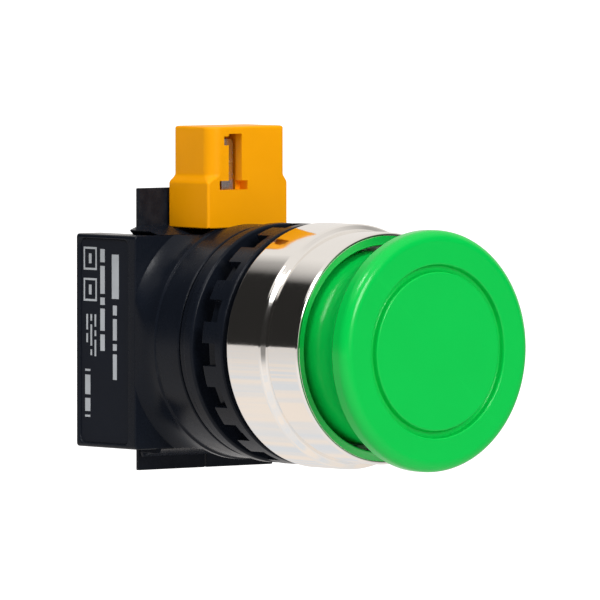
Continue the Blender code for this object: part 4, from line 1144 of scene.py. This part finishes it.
def make_floor(context):
    """Large pale floor below the button, which hangs by its panel hole.

    It glows in soft warm and cool patches, less towards the front right, so that the head's
    face stays deep.  The camera sees it white."""
    low = CAD_BOX[0].z - FLOOR_DROP
    corners = np.array([(-1, -1), (1, -1), (1, 1), (-1, 1)]) * FLOOR_HALF
    mesh = bpy.data.meshes.new("floor")
    mesh.from_pydata([(x, y, low) for x, y in corners.tolist()], [], [(0, 1, 2, 3)])
    floor = link("floor", mesh)
    material = bpy.data.materials.new("floor_paint")
    material.use_nodes = True
    tree = material.node_tree
    place = add_node(tree, "TexCoord").outputs["Object"]
    x, y = add_node(tree, "SeparateXYZ", {"Vector": place}).outputs[:2]
    glow = remap(tree, maths(tree, "SUBTRACT", x, y), 0.2, 1.2, 0.62, 0.1)
    patches = add_node(tree, "ValToRGB", {"Fac": noise(tree, place, 14.0, 2.0)})
    warm, cool = patches.color_ramp.elements
    warm.position, warm.color = 0.4, (1.0, 0.86, 0.74, 1.0)
    cool.position, cool.color = 0.6, (0.74, 0.79, 0.86, 1.0)
    is_camera = add_node(tree, "LightPath").outputs["Is Camera Ray"]
    feed(tree, tree.nodes["Principled BSDF"], {
        "Base Color": (0.3, 0.3, 0.3, 1.0), "Roughness": 1.0, "Specular IOR Level": 0.0,
        "Emission Color": blend(tree, is_camera, patches.outputs["Color"], WHITE),
        "Emission Strength": remap(tree, is_camera, 0.0, 1.0, glow, 1.1)})
    mesh.materials.append(material)


def make_lights(context):
    """Round soft lamps: a key from the front and a smaller, weaker one from high on the left."""
    for name, place, size, power in (("key", (-0.25, -1.5, 0.7), 0.7, 14.5),
                                     ("side", (-0.86, -0.27, 1.43), 0.42, 8.5)):
        data = bpy.data.lights.new(name, "AREA")
        data.shape, data.size, data.energy = "DISK", size, power
        lamp = bpy.data.objects.new(name, data)
        context.scene.collection.objects.link(lamp)
        lamp.location = place
        lamp.rotation_mode = "QUATERNION"
        lamp.rotation_quaternion = Vector(place).to_track_quat("Z", "Y")


class PUSHBUTTON_OT_stage(bpy.types.Operator):
    """Camera, floor, surroundings and soft lights"""

    bl_idname = "pushbutton.stage"
    bl_label = "Studio"

    def execute(self, context):
        make_camera(context)
        make_world(context)
        make_floor(context)
        make_lights(context)
        context.scene.view_settings.view_transform = "Standard"
        return {"FINISHED"}


# --- add-on ---
BUILDERS = (PUSHBUTTON_OT_stage, PUSHBUTTON_OT_head, PUSHBUTTON_OT_bezel, PUSHBUTTON_OT_sleeve,
            PUSHBUTTON_OT_plunger, PUSHBUTTON_OT_springs, PUSHBUTTON_OT_panel_rings,
            PUSHBUTTON_OT_adapter, PUSHBUTTON_OT_label, PUSHBUTTON_OT_lock,
            PUSHBUTTON_OT_contacts, PUSHBUTTON_OT_screws)


class VIEW3D_PT_push_button(bpy.types.Panel):
    """Sizes, colours and build steps of the push button"""

    bl_label = "Push Button"
    bl_idname = "VIEW3D_PT_push_button"
    bl_space_type = "VIEW_3D"
    bl_region_type = "UI"
    bl_category = "Push Button"

    def draw(self, context):
        for group in (context.scene.push_button_sizes, context.scene.push_button_finish):
            column = self.layout.column(align=True)
            for name in group.__annotations__:
                column.prop(group, name)
        for builder in BUILDERS:
            self.layout.operator(builder.bl_idname)


CLASSES = (PushButtonSizes, PushButtonFinish, *BUILDERS, VIEW3D_PT_push_button)


def register():
    for cls in CLASSES:
        bpy.utils.register_class(cls)
    bpy.types.Scene.push_button_sizes = PointerProperty(type=PushButtonSizes)
    bpy.types.Scene.push_button_finish = PointerProperty(type=PushButtonFinish)


def unregister():
    del bpy.types.Scene.push_button_finish
    del bpy.types.Scene.push_button_sizes
    for cls in reversed(CLASSES):
        bpy.utils.unregister_class(cls)


def main():
    """Register the add-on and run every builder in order."""
    register()
    for builder in BUILDERS:
        category, name = builder.bl_idname.split(".")
        getattr(getattr(bpy.ops, category), name)()


if __name__ == "__main__":
    main()
